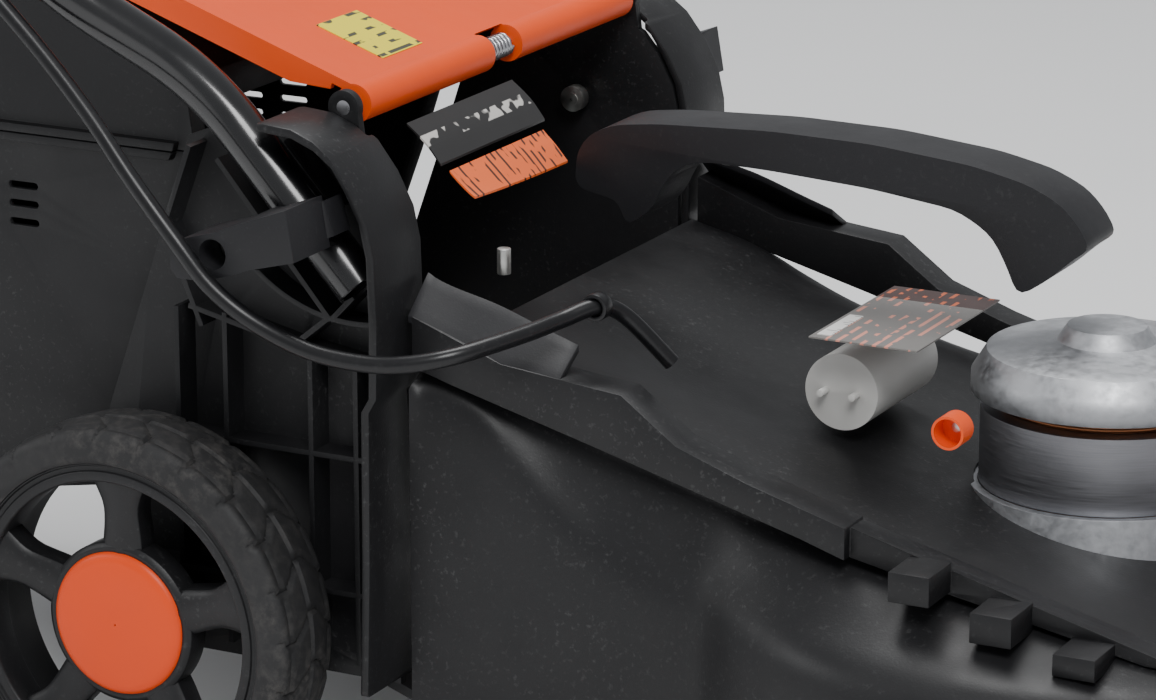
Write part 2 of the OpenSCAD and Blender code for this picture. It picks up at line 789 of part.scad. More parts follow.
module clamp_lever() color(black) {
    difference() {
        union() {
            side_slab(-lever_face_y, -165) polygon([[44, 241.5], [41, 245], [41, 255], [47.5, 258], [61, 261.8],
                [72.5, 266.5], [94, 274.5], [97.5, 254], [76.5, 248.5], [70.5, 246], [55, 241.5]]);
            // pad that bears on the tube
            side_slab(-166, -153.4) polygon([[68, 251], [66, 264], [84, 267], [96, 273], [100, 259], [87, 253]]);
        }
        cross_pin(lever_x, lever_z, lever_screw_r + run_gap, -200, -100);
        cross_pin(lever_x, lever_z, 6.1, -200, -172);
    }
}

module clamp_lever_right() clamp_lever();

module clamp_lever_left() mirror([0, 1, 0]) clamp_lever();

module knob() color(black) {
    difference() {
        union() {
            cross_pin(pivot_x, pivot_z, 11, -198, -lower_y - tube_r - 0.4);
            for (a = [0, 120, 240])
                translate([pivot_x, 0, pivot_z]) rotate([0, a, 0]) translate([13, 0, 0])
                    cross_pin(0, 0, 6, -203, -191);
        }
        cross_pin(pivot_x, pivot_z, pivot_bolt_r + run_gap, -196.5, -100);
    }
}

module knob_right() knob();

module knob_left() mirror([0, 1, 0]) knob();

corner_r = 45;

module handle_corner() {
    translate([-upper_len + corner_r, upper_y - corner_r, 0]) intersection() {
        rotate_extrude($fn = 96) translate([corner_r, 0]) circle(r = tube_r);
        translate([-200, 0, -50]) cube([200, 200, 100]);
    }
}

module upper_handle() color(dark) {
    difference() {
        on_handle() {
            both_sides() {
                translate([16, upper_y, 0]) rotate([0, -90, 0]) cylinder(r = tube_r, h = 16 + upper_len - corner_r);
                handle_corner();
                // bracket that carries the bail's pivot
                translate([-400, 127, -9]) cube([24, upper_y - tube_r - 126.5, 18]);
            }
            translate([-upper_len, upper_y - corner_r, 0]) rotate([90, 0, 0])
                cylinder(r = tube_r, h = 2 * (upper_y - corner_r));
        }
        on_handle() {
            cross_pin(-388, 0, 4 + run_gap, -142, 142);
            cross_pin(0, 0, pivot_bolt_r + run_gap, -200, 200);
        }
    }
}

// ---------- switch box, bail lever and lead ----------

sb_x = [-470, -404];
sb_y = [-116, -72];
sb_z = [-22, 26];

module switch_box() color(black) {
    on_handle() difference() {
        union() {
            translate([sb_x[0], sb_y[0], sb_z[0]])
                cube([sb_x[1] - sb_x[0], sb_y[1] - sb_y[0], sb_z[1] - sb_z[0]]);
            // arm that clips on the tube
            difference() {
                translate([-446, -147, -17]) cube([30, 147 + sb_y[0] + 1, 10]);
                translate([-500, -upper_y, 0]) rotate([0, 90, 0]) cylinder(r = tube_r + eps, h = 200);
            }
        }
        translate([sb_x[0] + wall, sb_y[0] + wall, sb_z[0] + wall])
            cube([sb_x[1] - sb_x[0] - 2 * wall, sb_y[1] - sb_y[0] - 2 * wall, sb_z[1] - sb_z[0] - 2 * wall]);
        translate([-437, -94, 0]) cylinder(r = 9.1, h = 60);
        translate([-400, -94, 2]) rotate([0, -90, 0]) cylinder(r = 14.6, h = 10);
        translate([-412, -106, -12]) rotate([0, 90, 0]) cylinder(r = lead_r + 0.1, h = 20);
    }
}

module micro_switch() color([0.55, 0.12, 0.10]) {
    on_handle() translate([-452, -106, -17.9]) {
        cube([28, 24, 16]);
        translate([12, 9, 16]) cube([4, 6, 3]);
    }
}

module mains_inlet() color(dark) {
    on_handle() translate([-407.9, -94, 2]) rotate([0, 90, 0]) difference() {
        cylinder(r = 14.5, h = 34);
        translate([0, 0, 6]) cylinder(r = 12, h = 40);
    }
    on_handle() for (s = [-1, 1])
        translate([-402, -94 + 5 * s, 2]) rotate([0, 90, 0]) cylinder(r = 2, h = 22);
}

module lock_button() color(orange) {
    on_handle() {
        translate([-437, -94, 14]) cylinder(r = 9, h = 19);
        translate([-437, -94, 18.9]) cylinder(r = 11, h = 3.3);
    }
}

bail_z = 44;
bail_y = 121;

module bail_lever() color(steel) {
    on_handle() {
        for (side = [-1, 1]) {
            // pivot pin and arm
            cross_pin(-388, 0, 4, side > 0 ? bail_y : -141, side > 0 ? 141 : -bail_y);
            rod([-388, side * bail_y, 0], [-470, side * bail_y, bail_z], 4);
        }
        // grip bar
        cross_pin(-470, bail_z, 4, -bail_y, bail_y);
    }
}

// Route of the lead: out of the flank, down in a loop, past the lever, under the tube and up to the pivot
lead_low_route = [[214, -98, 205], [199, -109, 225], [192.5, -121, 231], [184, -134, 228], [178, -150, 226],
    [170, -167, 224], [160, -181, 221.5], [145, -188.5, 218.5], [128, -191, 217], [104, -192, 219], [80, -194, 228], [62, -197, 241],
    [47, -198, 258], [26, -196, 280], [5, -192, 302], [-18, -189, 324], [-42, -188, 346], [-70, -188, 372],
    [-100, -187, 400], [-128, -182, 424], [-152, -168, 444], [-172, -150, 464], [-192, -138, 490],
    [-207, -135, 509], [-214, -134.5, 519]];

lead_bend_route = [[-214, -134.5, 519], [-219, -134.5, 525.5], [-225, -134.5, 531.5], [-235.4, -134.5, 541.4]];

lead_up_route = [for (p = [[-14.5, -134.5, 0], [-40, -134.5, 0], [-80, -135, 0], [-120, -135, 0],
    [-200, -135, 0], [-280, -135, 0], [-330, -134, -5], [-365, -120, -11], [-388, -108, -12],
    [-401, -106, -12], [-410, -106, -12]]) handle_point(p)];

module motor_lead_lower() color(dark) swept_tube(smooth_path(lead_low_route, 2), lead_r, 10);

module motor_lead_bend() color(dark) swept_tube(smooth_path(lead_bend_route, 2), lead_r, 10);

module motor_lead_upper() color(dark) swept_tube(smooth_path(lead_up_route, 2), lead_r, 10);

module lead_gland() color(black) {
    difference() {
        translate([192.5, -121, 231]) rotate([90, 0, 0]) cylinder(r = 5.8, h = 9, center = true);
        swept_tube(smooth_path(lead_low_route, 2), lead_r + 0.15, 10);
    }
}

deck_shell();
rear_frame();
arch_band_right();
arch_band_left();
top_cover();
side_rail_right();
side_rail_left();
carry_handle();
motor_lower_bell();
motor_upper_bell();
stator_core();
stator_windings();
lower_bearing();
upper_bearing();
capacitor();
motor_screws();
cover_screws();
front_axle();
rear_axle();
hinge_rod();
flap_spring();
lower_tube_right();
lower_tube_left();
lever_screws();
pivot_bolts();
lead_gland();
motor_lead_lower();
motor_lead_bend();
rotor_core();
motor_shaft();
cooling_fan();
blade_carrier();
blade();
blade_bolt();
rear_right_tyre();
rear_right_rim();
rear_right_cap();
rear_left_tyre();
rear_left_rim();
rear_left_cap();
front_right_tyre();
front_right_rim();
front_right_cap();
front_left_tyre();
front_left_rim();
front_left_cap();
rear_flap();
grass_box_body();
grass_box_lid();
clamp_lever_right();
clamp_lever_left();
upper_handle();
switch_box();
micro_switch();
mains_inlet();
motor_lead_upper();
bail_lever();
lock_button();
knob_right();
knob_left();
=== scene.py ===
import json
import math

import bmesh
import bpy
from mathutils import Matrix, Vector


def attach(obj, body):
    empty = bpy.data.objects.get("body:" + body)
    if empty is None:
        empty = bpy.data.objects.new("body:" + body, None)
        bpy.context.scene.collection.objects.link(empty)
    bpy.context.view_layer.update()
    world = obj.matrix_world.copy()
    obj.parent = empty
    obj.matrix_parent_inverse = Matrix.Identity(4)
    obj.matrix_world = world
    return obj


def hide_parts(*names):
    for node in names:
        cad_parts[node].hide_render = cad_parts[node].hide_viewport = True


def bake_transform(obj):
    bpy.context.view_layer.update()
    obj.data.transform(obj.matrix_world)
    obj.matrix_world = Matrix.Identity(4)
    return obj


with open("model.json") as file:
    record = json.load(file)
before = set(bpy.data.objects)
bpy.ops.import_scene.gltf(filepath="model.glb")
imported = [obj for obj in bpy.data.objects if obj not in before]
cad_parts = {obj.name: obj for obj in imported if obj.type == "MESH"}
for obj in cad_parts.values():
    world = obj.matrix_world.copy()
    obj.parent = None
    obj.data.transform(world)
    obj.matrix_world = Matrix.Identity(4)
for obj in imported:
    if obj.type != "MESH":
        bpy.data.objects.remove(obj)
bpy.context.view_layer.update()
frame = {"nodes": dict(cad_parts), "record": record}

MM = 0.001
RIGHT, LEFT = -1, 1

# ---------- driving sizes, as in the CAD source ----------
REAR_R, REAR_W, REAR_CAP = 85, 41, 30.8
FRONT_R, FRONT_W, FRONT_CAP = 65, 33, 23
WHEELBASE = 530
WHEEL_FACE = 183
TUBE_R = 10
LEAD_R = 3.5
PIVOT = Vector((-225, 0, 532))
HANDLE_SLOPE = math.radians(42)
BLADE_X = 360
HOUSING_R = 180
DECK_HALF = 140
RIM_Z = 32
COVER_HALF = 121
FLARE_HALF = 139
FLOOR_Z = 212
NOSE_X = 458
WALL = 3.2


# ---------- small maths ----------
def smoothstep(t):
    t = min(max(t, 0.0), 1.0)
    return t * t * (3 - 2 * t)


def soft_max(a, b, k):
    h = max(k - abs(a - b), 0) / k
    return max(a, b) + h * h * k / 4


def soft_min(a, b, k):
    return -soft_max(-a, -b, k)


def lerp(a, b, t):
    return a + (b - a) * t


def track(points):
    """Height at any x along a smooth curve through the points (x, z)."""

    def height(x):
        if x <= points[0][0]:
            return points[0][1]
        if x >= points[-1][0]:
            return points[-1][1]
        i = max(k for k in range(len(points) - 1) if points[k][0] <= x)
        (x1, z1), (x2, z2) = points[i], points[i + 1]
        before, after = points[max(i - 1, 0)], points[min(i + 2, len(points) - 1)]
        m1 = (z2 - before[1]) / (x2 - before[0])
        m2 = (after[1] - z1) / (after[0] - x1)
        w = x2 - x1
        t = (x - x1) / w
        a = (2 * t**3 - 3 * t**2 + 1) * z1 + (t**3 - 2 * t**2 + t) * w * m1
        return a + (-2 * t**3 + 3 * t**2) * z2 + (t**3 - t**2) * w * m2

    return height


def smooth_route(points, steps):
    """Catmull-Rom curve through the points."""
    p = [Vector(q) for q in points]
    out = []
    for i in range(len(p) - 1):
        p0, p1, p2, p3 = p[max(i - 1, 0)], p[i], p[i + 1], p[min(i + 2, len(p) - 1)]
        for j in range(steps):
            t = j / steps
            out.append(
                0.5 * (2 * p1 + (p2 - p0) * t + (2 * p0 - 5 * p1 + 4 * p2 - p3) * t * t
                       + (3 * p1 - p0 - 3 * p2 + p3) * t * t * t)
            )
    out.append(p[-1])
    return out


def round_corners(points, radius, steps=8):
    """The path with each corner replaced by an arc-like curve of about the given radius."""
    p = [Vector(q) for q in points]
    out = [p[0]]
    for i in range(1, len(p) - 1):
        back, ahead = (p[i - 1] - p[i]), (p[i + 1] - p[i])
        reach = min(radius, back.length * 0.48, ahead.length * 0.48)
        a, b = p[i] + back.normalized() * reach, p[i] + ahead.normalized() * reach
        for j in range(steps + 1):
            t = j / steps
            out.append((1 - t) ** 2 * a + 2 * t * (1 - t) * p[i] + t * t * b)
    out.append(p[-1])
    return out


def handle_point(p):
    """A point of the folding handle's own frame, which starts at the pivot and runs towards -X."""
    c, s = math.cos(HANDLE_SLOPE), math.sin(HANDLE_SLOPE)
    return Vector((PIVOT.x + p[0] * c + p[2] * s, p[1], PIVOT.z - p[0] * s + p[2] * c))


# ---------- materials ----------
def node_material(name):
    mat = bpy.data.materials.new(name)
    mat.use_nodes = True
    tree = mat.node_tree
    shader = tree.nodes["Principled BSDF"]
    place = tree.nodes.new("ShaderNodeTexCoord")
    return mat, tree, shader, place


def noise(tree, place, scale, detail=3.0, rough=0.5, stretch=None):
    n = tree.nodes.new("ShaderNodeTexNoise")
    n.inputs["Scale"].default_value = scale
    n.inputs["Detail"].default_value = detail
    n.inputs["Roughness"].default_value = rough
    source = place.outputs["Object"]
    if stretch:
        m = tree.nodes.new("ShaderNodeMapping")
        m.inputs["Scale"].default_value = stretch
        tree.links.new(source, m.inputs["Vector"])
        source = m.outputs["Vector"]
    tree.links.new(source, n.inputs["Vector"])
    return n.outputs["Fac"]


def ramp(tree, value, stops):
    r = tree.nodes.new("ShaderNodeValToRGB")
    while len(r.color_ramp.elements) < len(stops):
        r.color_ramp.elements.new(0.5)
    for e, (at, colour) in zip(r.color_ramp.elements, stops):
        e.position = at
        e.color = (*colour, 1)
    tree.links.new(value, r.inputs["Fac"])
    return r.outputs["Color"]


def spread(tree, value, low, high, from_low=0.3, from_high=0.7):
    m = tree.nodes.new("ShaderNodeMapRange")
    m.inputs["From Min"].default_value = from_low
    m.inputs["From Max"].default_value = from_high
    m.inputs["To Min"].default_value = low
    m.inputs["To Max"].default_value = high
    tree.links.new(value, m.inputs["Value"])
    return m.outputs["Result"]


def mix_colour(tree, value, a, b):
    m = tree.nodes.new("ShaderNodeMix")
    m.data_type = "RGBA"
    tree.links.new(value, m.inputs["Factor"])
    for socket, colour in ((m.inputs["A"], a), (m.inputs["B"], b)):
        if isinstance(colour, tuple):
            socket.default_value = (*colour, 1)
        else:
            tree.links.new(colour, socket)
    return m.outputs["Result"]


def bump(tree, shader, value, strength, distance):
    b = tree.nodes.new("ShaderNodeBump")
    b.inputs["Strength"].default_value = strength
    b.inputs["Distance"].default_value = distance * MM
    tree.links.new(value, b.inputs["Height"])
    tree.links.new(b.outputs["Normal"], shader.inputs["Normal"])


def moulded_plastic(name, colour, roughness, grain_mm, grain_depth, coat=0.0, dust=0.0, shift=0.10):
    """Injection-moulded plastic: cloudy tone, fine spark-eroded grain, uneven gloss, specks of dust."""
    mat, tree, shader, place = node_material(name)
    cloud = noise(tree, place, 9.0, 4.0)
    low = tuple(c * (1 - shift) for c in colour)
    high = tuple(min(c * (1 + shift), 1) for c in colour)
    tone = ramp(tree, cloud, [(0.32, low), (0.68, high)])
    if dust:
        specks = noise(tree, place, 420.0, 2.0, 0.7)
        patches = noise(tree, place, 14.0, 3.0)
        both = tree.nodes.new("ShaderNodeMath")
        both.operation = "MULTIPLY"
        tree.links.new(spread(tree, specks, 0.0, dust, 0.58, 0.74), both.inputs[0])
        tree.links.new(spread(tree, patches, 0.1, 1.0, 0.4, 0.7), both.inputs[1])
        pale = tuple(min(c * 0.5 + 0.28, 1) for c in colour)
        tone = mix_colour(tree, both.outputs[0], tone, pale)
    tree.links.new(tone, shader.inputs["Base Color"])
    gloss = noise(tree, place, 45.0, 3.0)
    tree.links.new(spread(tree, gloss, roughness * 0.88, roughness * 1.14), shader.inputs["Roughness"])
    shader.inputs["Coat Weight"].default_value = coat
    shader.inputs["Coat Roughness"].default_value = 0.25
    shader.inputs["Specular IOR Level"].default_value = 0.36
    bump(tree, shader, noise(tree, place, 1000.0 / grain_mm, 2.0, 0.6), 0.35, grain_depth)
    return mat


def rubber(name, colour, dust):
    """Wheel rubber: dull, with pale dirt in the hollows and fine scratches."""
    mat, tree, shader, place = node_material(name)
    tone = ramp(tree, noise(tree, place, 30.0, 5.0), [(0.3, tuple(c * 0.7 for c in colour)), (0.7, colour)])
    dirt = noise(tree, place, 190.0, 6.0, 0.72)
    smear = noise(tree, place, 22.0, 4.0, 0.6, (1.0, 0.35, 1.0))
    both = tree.nodes.new("ShaderNodeMath")
    both.operation = "MULTIPLY"
    tree.links.new(spread(tree, dirt, 0.0, dust, 0.45, 0.72), both.inputs[0])
    tree.links.new(spread(tree, smear, 0.15, 1.0, 0.42, 0.66), both.inputs[1])
    tree.links.new(mix_colour(tree, both.outputs[0], tone, (0.13, 0.12, 0.11)), shader.inputs["Base Color"])
    tree.links.new(spread(tree, smear, 0.55, 0.8), shader.inputs["Roughness"])
    bump(tree, shader, dirt, 0.3, 0.25)
    return mat


def painted_tube(name, colour):
    """Powder-coated tube: deep gloss with a slight orange-peel skin."""
    mat, tree, shader, place = node_material(name)
    tone = ramp(tree, noise(tree, place, 18.0, 3.0), [(0.3, tuple(c * 0.8 for c in colour)), (0.7, colour)])
    tree.links.new(tone, shader.inputs["Base Color"])
    tree.links.new(spread(tree, noise(tree, place, 60.0, 3.0), 0.2, 0.3), shader.inputs["Roughness"])
    shader.inputs["Coat Weight"].default_value = 0.6
    shader.inputs["Coat Roughness"].default_value = 0.12
    bump(tree, shader, noise(tree, place, 380.0, 2.0), 0.12, 0.2)
    return mat


def metal(name, colour, roughness, brush=(1.0, 1.0, 1.0), scale=160.0, depth=0.08):
    """Bare or plated metal with a directional brush or cast skin."""
    mat, tree, shader, place = node_material(name)
    streaks = noise(tree, place, scale, 5.0, 0.65, brush)
    tone = ramp(tree, streaks, [(0.3, tuple(c * 0.78 for c in colour)), (0.7, colour)])
    tree.links.new(tone, shader.inputs["Base Color"])
    shader.inputs["Metallic"].default_value = 1.0
    tree.links.new(spread(tree, streaks, roughness * 0.8, roughness * 1.25), shader.inputs["Roughness"])
    bump(tree, shader, streaks, 0.25, depth)
    return mat


def wound_wire(name, colour):
    """Enamelled copper wire, laid in fine turns."""
    mat, tree, shader, place = node_material(name)
    wave = tree.nodes.new("ShaderNodeTexWave")
    wave.bands_direction = "Z"
    wave.inputs["Scale"].default_value = 260.0
    wave.inputs["Distortion"].default_value = 1.2
    tree.links.new(place.outputs["Object"], wave.inputs["Vector"])
    tone = ramp(tree, wave.outputs["Fac"], [(0.2, tuple(c * 0.5 for c in colour)), (0.8, colour)])
    tree.links.new(tone, shader.inputs["Base Color"])
    shader.inputs["Metallic"].default_value = 0.8
    tree.links.new(spread(tree, wave.outputs["Fac"], 0.3, 0.45), shader.inputs["Roughness"])
    bump(tree, shader, wave.outputs["Fac"], 0.6, 0.4)
    return mat


def printed_label(name, ink, ground, bars, direction="X"):
    """Generic printed plate: plain ground with rows of short bars that spell nothing."""
    mat, tree, shader, place = node_material(name)
    rows = tree.nodes.new("ShaderNodeTexWave")
    rows.bands_direction = direction
    rows.inputs["Scale"].default_value = bars
    rows.inputs["Distortion"].default_value = 0.0
    tree.links.new(place.outputs["Object"], rows.inputs["Vector"])
    breaks = noise(tree, place, 130.0, 1.0)
    both = tree.nodes.new("ShaderNodeMath")
    both.operation = "MULTIPLY"
    tree.links.new(spread(tree, rows.outputs["Fac"], 0.0, 1.0, 0.72, 0.78), both.inputs[0])
    tree.links.new(spread(tree, breaks, 0.0, 1.0, 0.5, 0.53), both.inputs[1])
    tree.links.new(mix_colour(tree, both.outputs[0], ground, ink), shader.inputs["Base Color"])
    tree.links.new(spread(tree, noise(tree, place, 50.0), 0.3, 0.42), shader.inputs["Roughness"])
    return mat


ORANGE = (0.84, 0.078, 0.003)
BLACK = (0.010, 0.010, 0.011)

MATERIALS = {
    "orange_cover": moulded_plastic("orange_cover", ORANGE, 0.44, 0.9, 0.05, 0.0, 0.06, 0.05),
    "orange_cap": moulded_plastic("orange_cap", (0.80, 0.062, 0.002), 0.42, 0.9, 0.05, 0.05, 0.0, 0.05),
    "orange_button": moulded_plastic("orange_button", (0.86, 0.12, 0.015), 0.36, 0.9, 0.05, 0.1, 0.0, 0.05),
    "black_shell": moulded_plastic("black_shell", BLACK, 0.44, 1.0, 0.16, 0.0, 0.16, 0.15),
    "black_box": moulded_plastic("black_box", (0.011, 0.011, 0.012), 0.5, 1.2, 0.2, 0.0, 0.14, 0.15),
    "black_grip": moulded_plastic("black_grip", (0.014, 0.014, 0.016), 0.48, 0.8, 0.14, 0.0, 0.05, 0.12),
    "black_rim": moulded_plastic("black_rim", (0.011, 0.011, 0.012), 0.42, 0.8, 0.14, 0.0, 0.12, 0.15),
    "tyre_rubber": rubber("tyre_rubber", (0.016, 0.016, 0.017), 0.45),
    "rubber_lead": moulded_plastic("rubber_lead", (0.006, 0.006, 0.007), 0.33, 0.7, 0.05, 0.1, 0.05, 0.1),
    "rubber_black": moulded_plastic("rubber_black", (0.02, 0.02, 0.021), 0.6, 0.9, 0.12, 0.0, 0.05, 0.1),
    "black_tube": painted_tube("black_tube", (0.004, 0.004, 0.005)),
    "steel": metal("steel", (0.58, 0.58, 0.60), 0.3, (1.0, 6.0, 1.0)),
    "zinc_screw": metal("zinc_screw", (0.66, 0.66, 0.63), 0.34),
    "blade_steel": metal("blade_steel", (0.22, 0.22, 0.24), 0.42, (6.0, 1.0, 1.0)),
    "cast_alu": metal("cast_alu", (0.55, 0.56, 0.58), 0.5, (1.0, 1.0, 1.0), 240.0, 0.2),
    "lamination": metal("lamination", (0.34, 0.34, 0.36), 0.45, (0.4, 0.4, 14.0), 120.0, 0.15),
    "copper_wire": wound_wire("copper_wire", (0.72, 0.28, 0.12)),
    "white_case": moulded_plastic("white_case", (0.72, 0.71, 0.68), 0.42, 0.9, 0.05, 0.0, 0.0, 0.05),
    "red_case": moulded_plastic("red_case", (0.42, 0.03, 0.02), 0.4, 0.9, 0.05, 0.0, 0.0, 0.05),
}
DARK_PRINT = printed_label("dark_print", (0.55, 0.53, 0.50), (0.018, 0.017, 0.017), 26.0)
STRIP_PRINT = printed_label("strip_print", (0.05, 0.02, 0.01), (0.86, 0.15, 0.03), 70.0, "Y")
GREY_PRINT = printed_label("grey_print", (0.75, 0.30, 0.22), (0.19, 0.18, 0.17), 60.0)
RUST_PRINT = printed_label("rust_print", (0.62, 0.12, 0.03), (0.045, 0.012, 0.008), 60.0)
WHITE_PRINT = printed_label("white_print", (0.3, 0.3, 0.3), (0.80, 0.79, 0.76), 120.0, "Y")
YELLOW_PRINT = printed_label("yellow_print", (0.05, 0.05, 0.03), (0.85, 0.72, 0.02), 55.0)


# ---------- mesh helpers ----------
def shading_group(angle):
    """Geometry nodes: smooth faces, sharp wherever two faces meet at more than the angle."""
    group = bpy.data.node_groups.new("smooth_by_angle_%d" % angle, "GeometryNodeTree")
    group.interface.new_socket("Geometry", in_out="INPUT", socket_type="NodeSocketGeometry")
    group.interface.new_socket("Geometry", in_out="OUTPUT", socket_type="NodeSocketGeometry")
    n = group.nodes
    start, end = n.new("NodeGroupInput"), n.new("NodeGroupOutput")
    clear = n.new("GeometryNodeRemoveAttribute")
    clear.inputs["Name"].default_value = "custom_normal"
    smooth = n.new("GeometryNodeSetShadeSmooth")
    sharp = n.new("GeometryNodeSetShadeSmooth")
    sharp.domain = "EDGE"
    sharp.inputs["Shade Smooth"].default_value = False
    edge = n.new("GeometryNodeInputMeshEdgeAngle")
    above = n.new("FunctionNodeCompare")
    above.data_type = "FLOAT"
    above.operation = "GREATER_THAN"
    above.inputs[1].default_value = math.radians(angle)
    group.links.new(start.outputs[0], clear.inputs[0])
    group.links.new(clear.outputs[0], smooth.inputs["Geometry"])
    group.links.new(smooth.outputs[0], sharp.inputs["Geometry"])
    group.links.new(edge.outputs["Unsigned Angle"], above.inputs[0])
    group.links.new(above.outputs[0], sharp.inputs["Selection"])
    group.links.new(sharp.outputs[0], end.inputs[0])
    return group


SHADING = {angle: shading_group(angle) for angle in (38, 60)}


def finish_edges(obj, width, angle=38, segments=2, bevel_angle=40):
    """Welded corners, a small moulded radius on each edge, and smooth faces between edges."""
    weld = obj.modifiers.new("weld", "WELD")
    weld.merge_threshold = 0.01 * MM
    if width:
        bevel = obj.modifiers.new("edge_radius", "BEVEL")
        bevel.width = width * MM
        bevel.segments = segments
        bevel.limit_method = "ANGLE"
        bevel.angle_limit = math.radians(bevel_angle)
        bevel.miter_outer = "MITER_ARC"
    shade = obj.modifiers.new("shading", "NODES")
    shade.node_group = SHADING[angle]


def piece_from(name, verts, faces, slot, body, replaces=(), material=None):
    """A new piece from points in millimetres, riding on a body and standing in for CAD nodes."""
    mesh = bpy.data.meshes.new(name)
    mesh.from_pydata([(x * MM, y * MM, z * MM) for x, y, z in verts], [], faces)
    obj = bpy.data.objects.new(name, mesh)
    bpy.context.scene.collection.objects.link(obj)
    bm = bmesh.new()
    bm.from_mesh(mesh)
    bmesh.ops.remove_doubles(bm, verts=bm.verts, dist=0.004 * MM)
    bmesh.ops.recalc_face_normals(bm, faces=bm.faces)
    bm.to_mesh(mesh)
    bm.free()
    mesh.materials.append(material or MATERIALS[slot])
    if body:
        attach(obj, body)
    if replaces:
        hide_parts(*replaces)
    return obj


def grid_faces(rows, columns, close_rows=False, close_columns=False):
    faces = []
    for i in range(rows if close_rows else rows - 1):
        for j in range(columns if close_columns else columns - 1):
            a, b = i * columns + j, i * columns + (j + 1) % columns
            c, d = ((i + 1) % rows) * columns + (j + 1) % columns, ((i + 1) % rows) * columns + j
            faces.append((a, b, c, d))
    return faces


def slab(outline, y0, y1):
    """Outline of (x, z) points, drawn out along Y."""
    n = len(outline)
    verts = [(x, y, z) for y in (y0, y1) for x, z in outline]
    faces = [tuple(range(n)), tuple(range(2 * n - 1, n - 1, -1))]
    faces += [(i, (i + 1) % n, n + (i + 1) % n, n + i) for i in range(n)]
    return verts, faces


def joined(*parts):
    verts, faces = [], []
    for v, f in parts:
        start = len(verts)
        verts += list(v)
        faces += [tuple(start + i for i in face) for face in f]
    return verts, faces


def rounded_outline(points, radius, steps=4):
    """A closed outline whose corners are rounded."""
    n = len(points)
    out = []
    for i in range(n):
        a, p, b = (Vector(points[(i + k) % n]) for k in (-1, 0, 1))
        reach = min(radius, (a - p).length * 0.45, (b - p).length * 0.45)
        s, e = p + (a - p).normalized() * reach, p + (b - p).normalized() * reach
        for j in range(steps + 1):
            t = j / steps
            q = (1 - t) ** 2 * s + 2 * t * (1 - t) * p + t * t * e
            out.append((q.x, q.y))
    return out


def sweep(path, radius, sides, inner=0.0):
    """Round tube along a path; with an inner radius its ends are open."""
    n = len(path)
    tangents = [(path[min(i + 1, n - 1)] - path[max(i - 1, 0)]).normalized() for i in range(n)]
    up = Vector((0, 1, 0)) if abs(tangents[0].y) < 0.9 else Vector((0, 0, 1))
    rings = []
    for i in range(n):
        up = (up - tangents[i] * up.dot(tangents[i])).normalized()
        side = tangents[i].cross(up)
        rings.append((path[i], up.copy(), side))

    def ring(k, r):
        centre, u, w = rings[k]
        turn = 2 * math.pi / sides
        return [centre + r * (math.cos(j * turn) * u + math.sin(j * turn) * w) for j in range(sides)]

    if inner:
        order = [(k, radius) for k in range(n)] + [(k, inner) for k in reversed(range(n))]
        verts = [v for k, r in order for v in ring(k, r)]
        return verts, grid_faces(2 * n, sides, close_rows=True, close_columns=True)
    verts = [v for k in range(n) for v in ring(k, radius)]
    faces = grid_faces(n, sides, close_columns=True)
    faces += [tuple(range(sides))[::-1], tuple((n - 1) * sides + j for j in range(sides))]
    return verts, faces


def turned(profile, centre, steps, side):
    """Profile of (radius, depth) turned about a wheel's axle; depth runs inwards from the outer face."""
    rows = len(profile)
    verts = []
    for k in range(steps):
        a = 2 * math.pi * k / steps
        for r, depth in profile:
            y = side * (WHEEL_FACE - depth)
            verts.append((centre[0] + r * math.cos(a), y, centre[1] + r * math.sin(a)))
    return verts, grid_faces(steps, rows, close_rows=True, close_columns=True)


def cylinder_along(axis, centre, radius, length, sides=40):
    """Closed cylinder used as a cutter, from its start point along an axis letter."""
    direction = {"Y": Vector((0, 1, 0)), "Z": Vector((0, 0, 1))}[axis]
    start = Vector(centre)
    return sweep([start, start + direction * length * 0.5, start + direction * length], radius, sides)


def carve(piece, solids):
    """Cuts solids, given in millimetres, out of a piece for good."""
    verts, faces = solids
    cutter = piece_from("cutter", verts, faces, "black_shell", None)
    cutter.data.materials.clear()
    cut = piece.modifiers.new("cut", "BOOLEAN")
    cut.operation = "DIFFERENCE"
    cut.solver = "EXACT"
    cut.object = cutter
    bpy.context.view_layer.update()
    done = bpy.data.meshes.new_from_object(piece.evaluated_get(bpy.context.evaluated_depsgraph_get()))
    piece.modifiers.clear()
    piece.data = done
    bpy.data.objects.remove(cutter)


def harden(piece):
    """Applies every modifier that the piece has so far."""
    bpy.context.view_layer.update()
    piece.data = bpy.data.meshes.new_from_object(piece.evaluated_get(bpy.context.evaluated_depsgraph_get()))
    piece.modifiers.clear()


def relax(bm, verts, rounds):
    """Softens a sheet by moving each vertex towards its neighbours."""
    for _ in range(rounds):
        bmesh.ops.smooth_vert(bm, verts=verts, factor=0.5, use_axis_x=True, use_axis_y=True, use_axis_z=True)


def settle(bm, piece):
    """Writes a sheet back to its piece with its faces up, and gives it its wall thickness."""
    if sum(f.normal.z for f in bm.faces) < 0:
        bmesh.ops.reverse_faces(bm, faces=bm.faces)
    bm.to_mesh(piece.data)
    bm.free()
    shell = piece.modifiers.new("shell", "SOLIDIFY")
    shell.thickness = WALL * MM
    shell.offset = -1
    harden(piece)


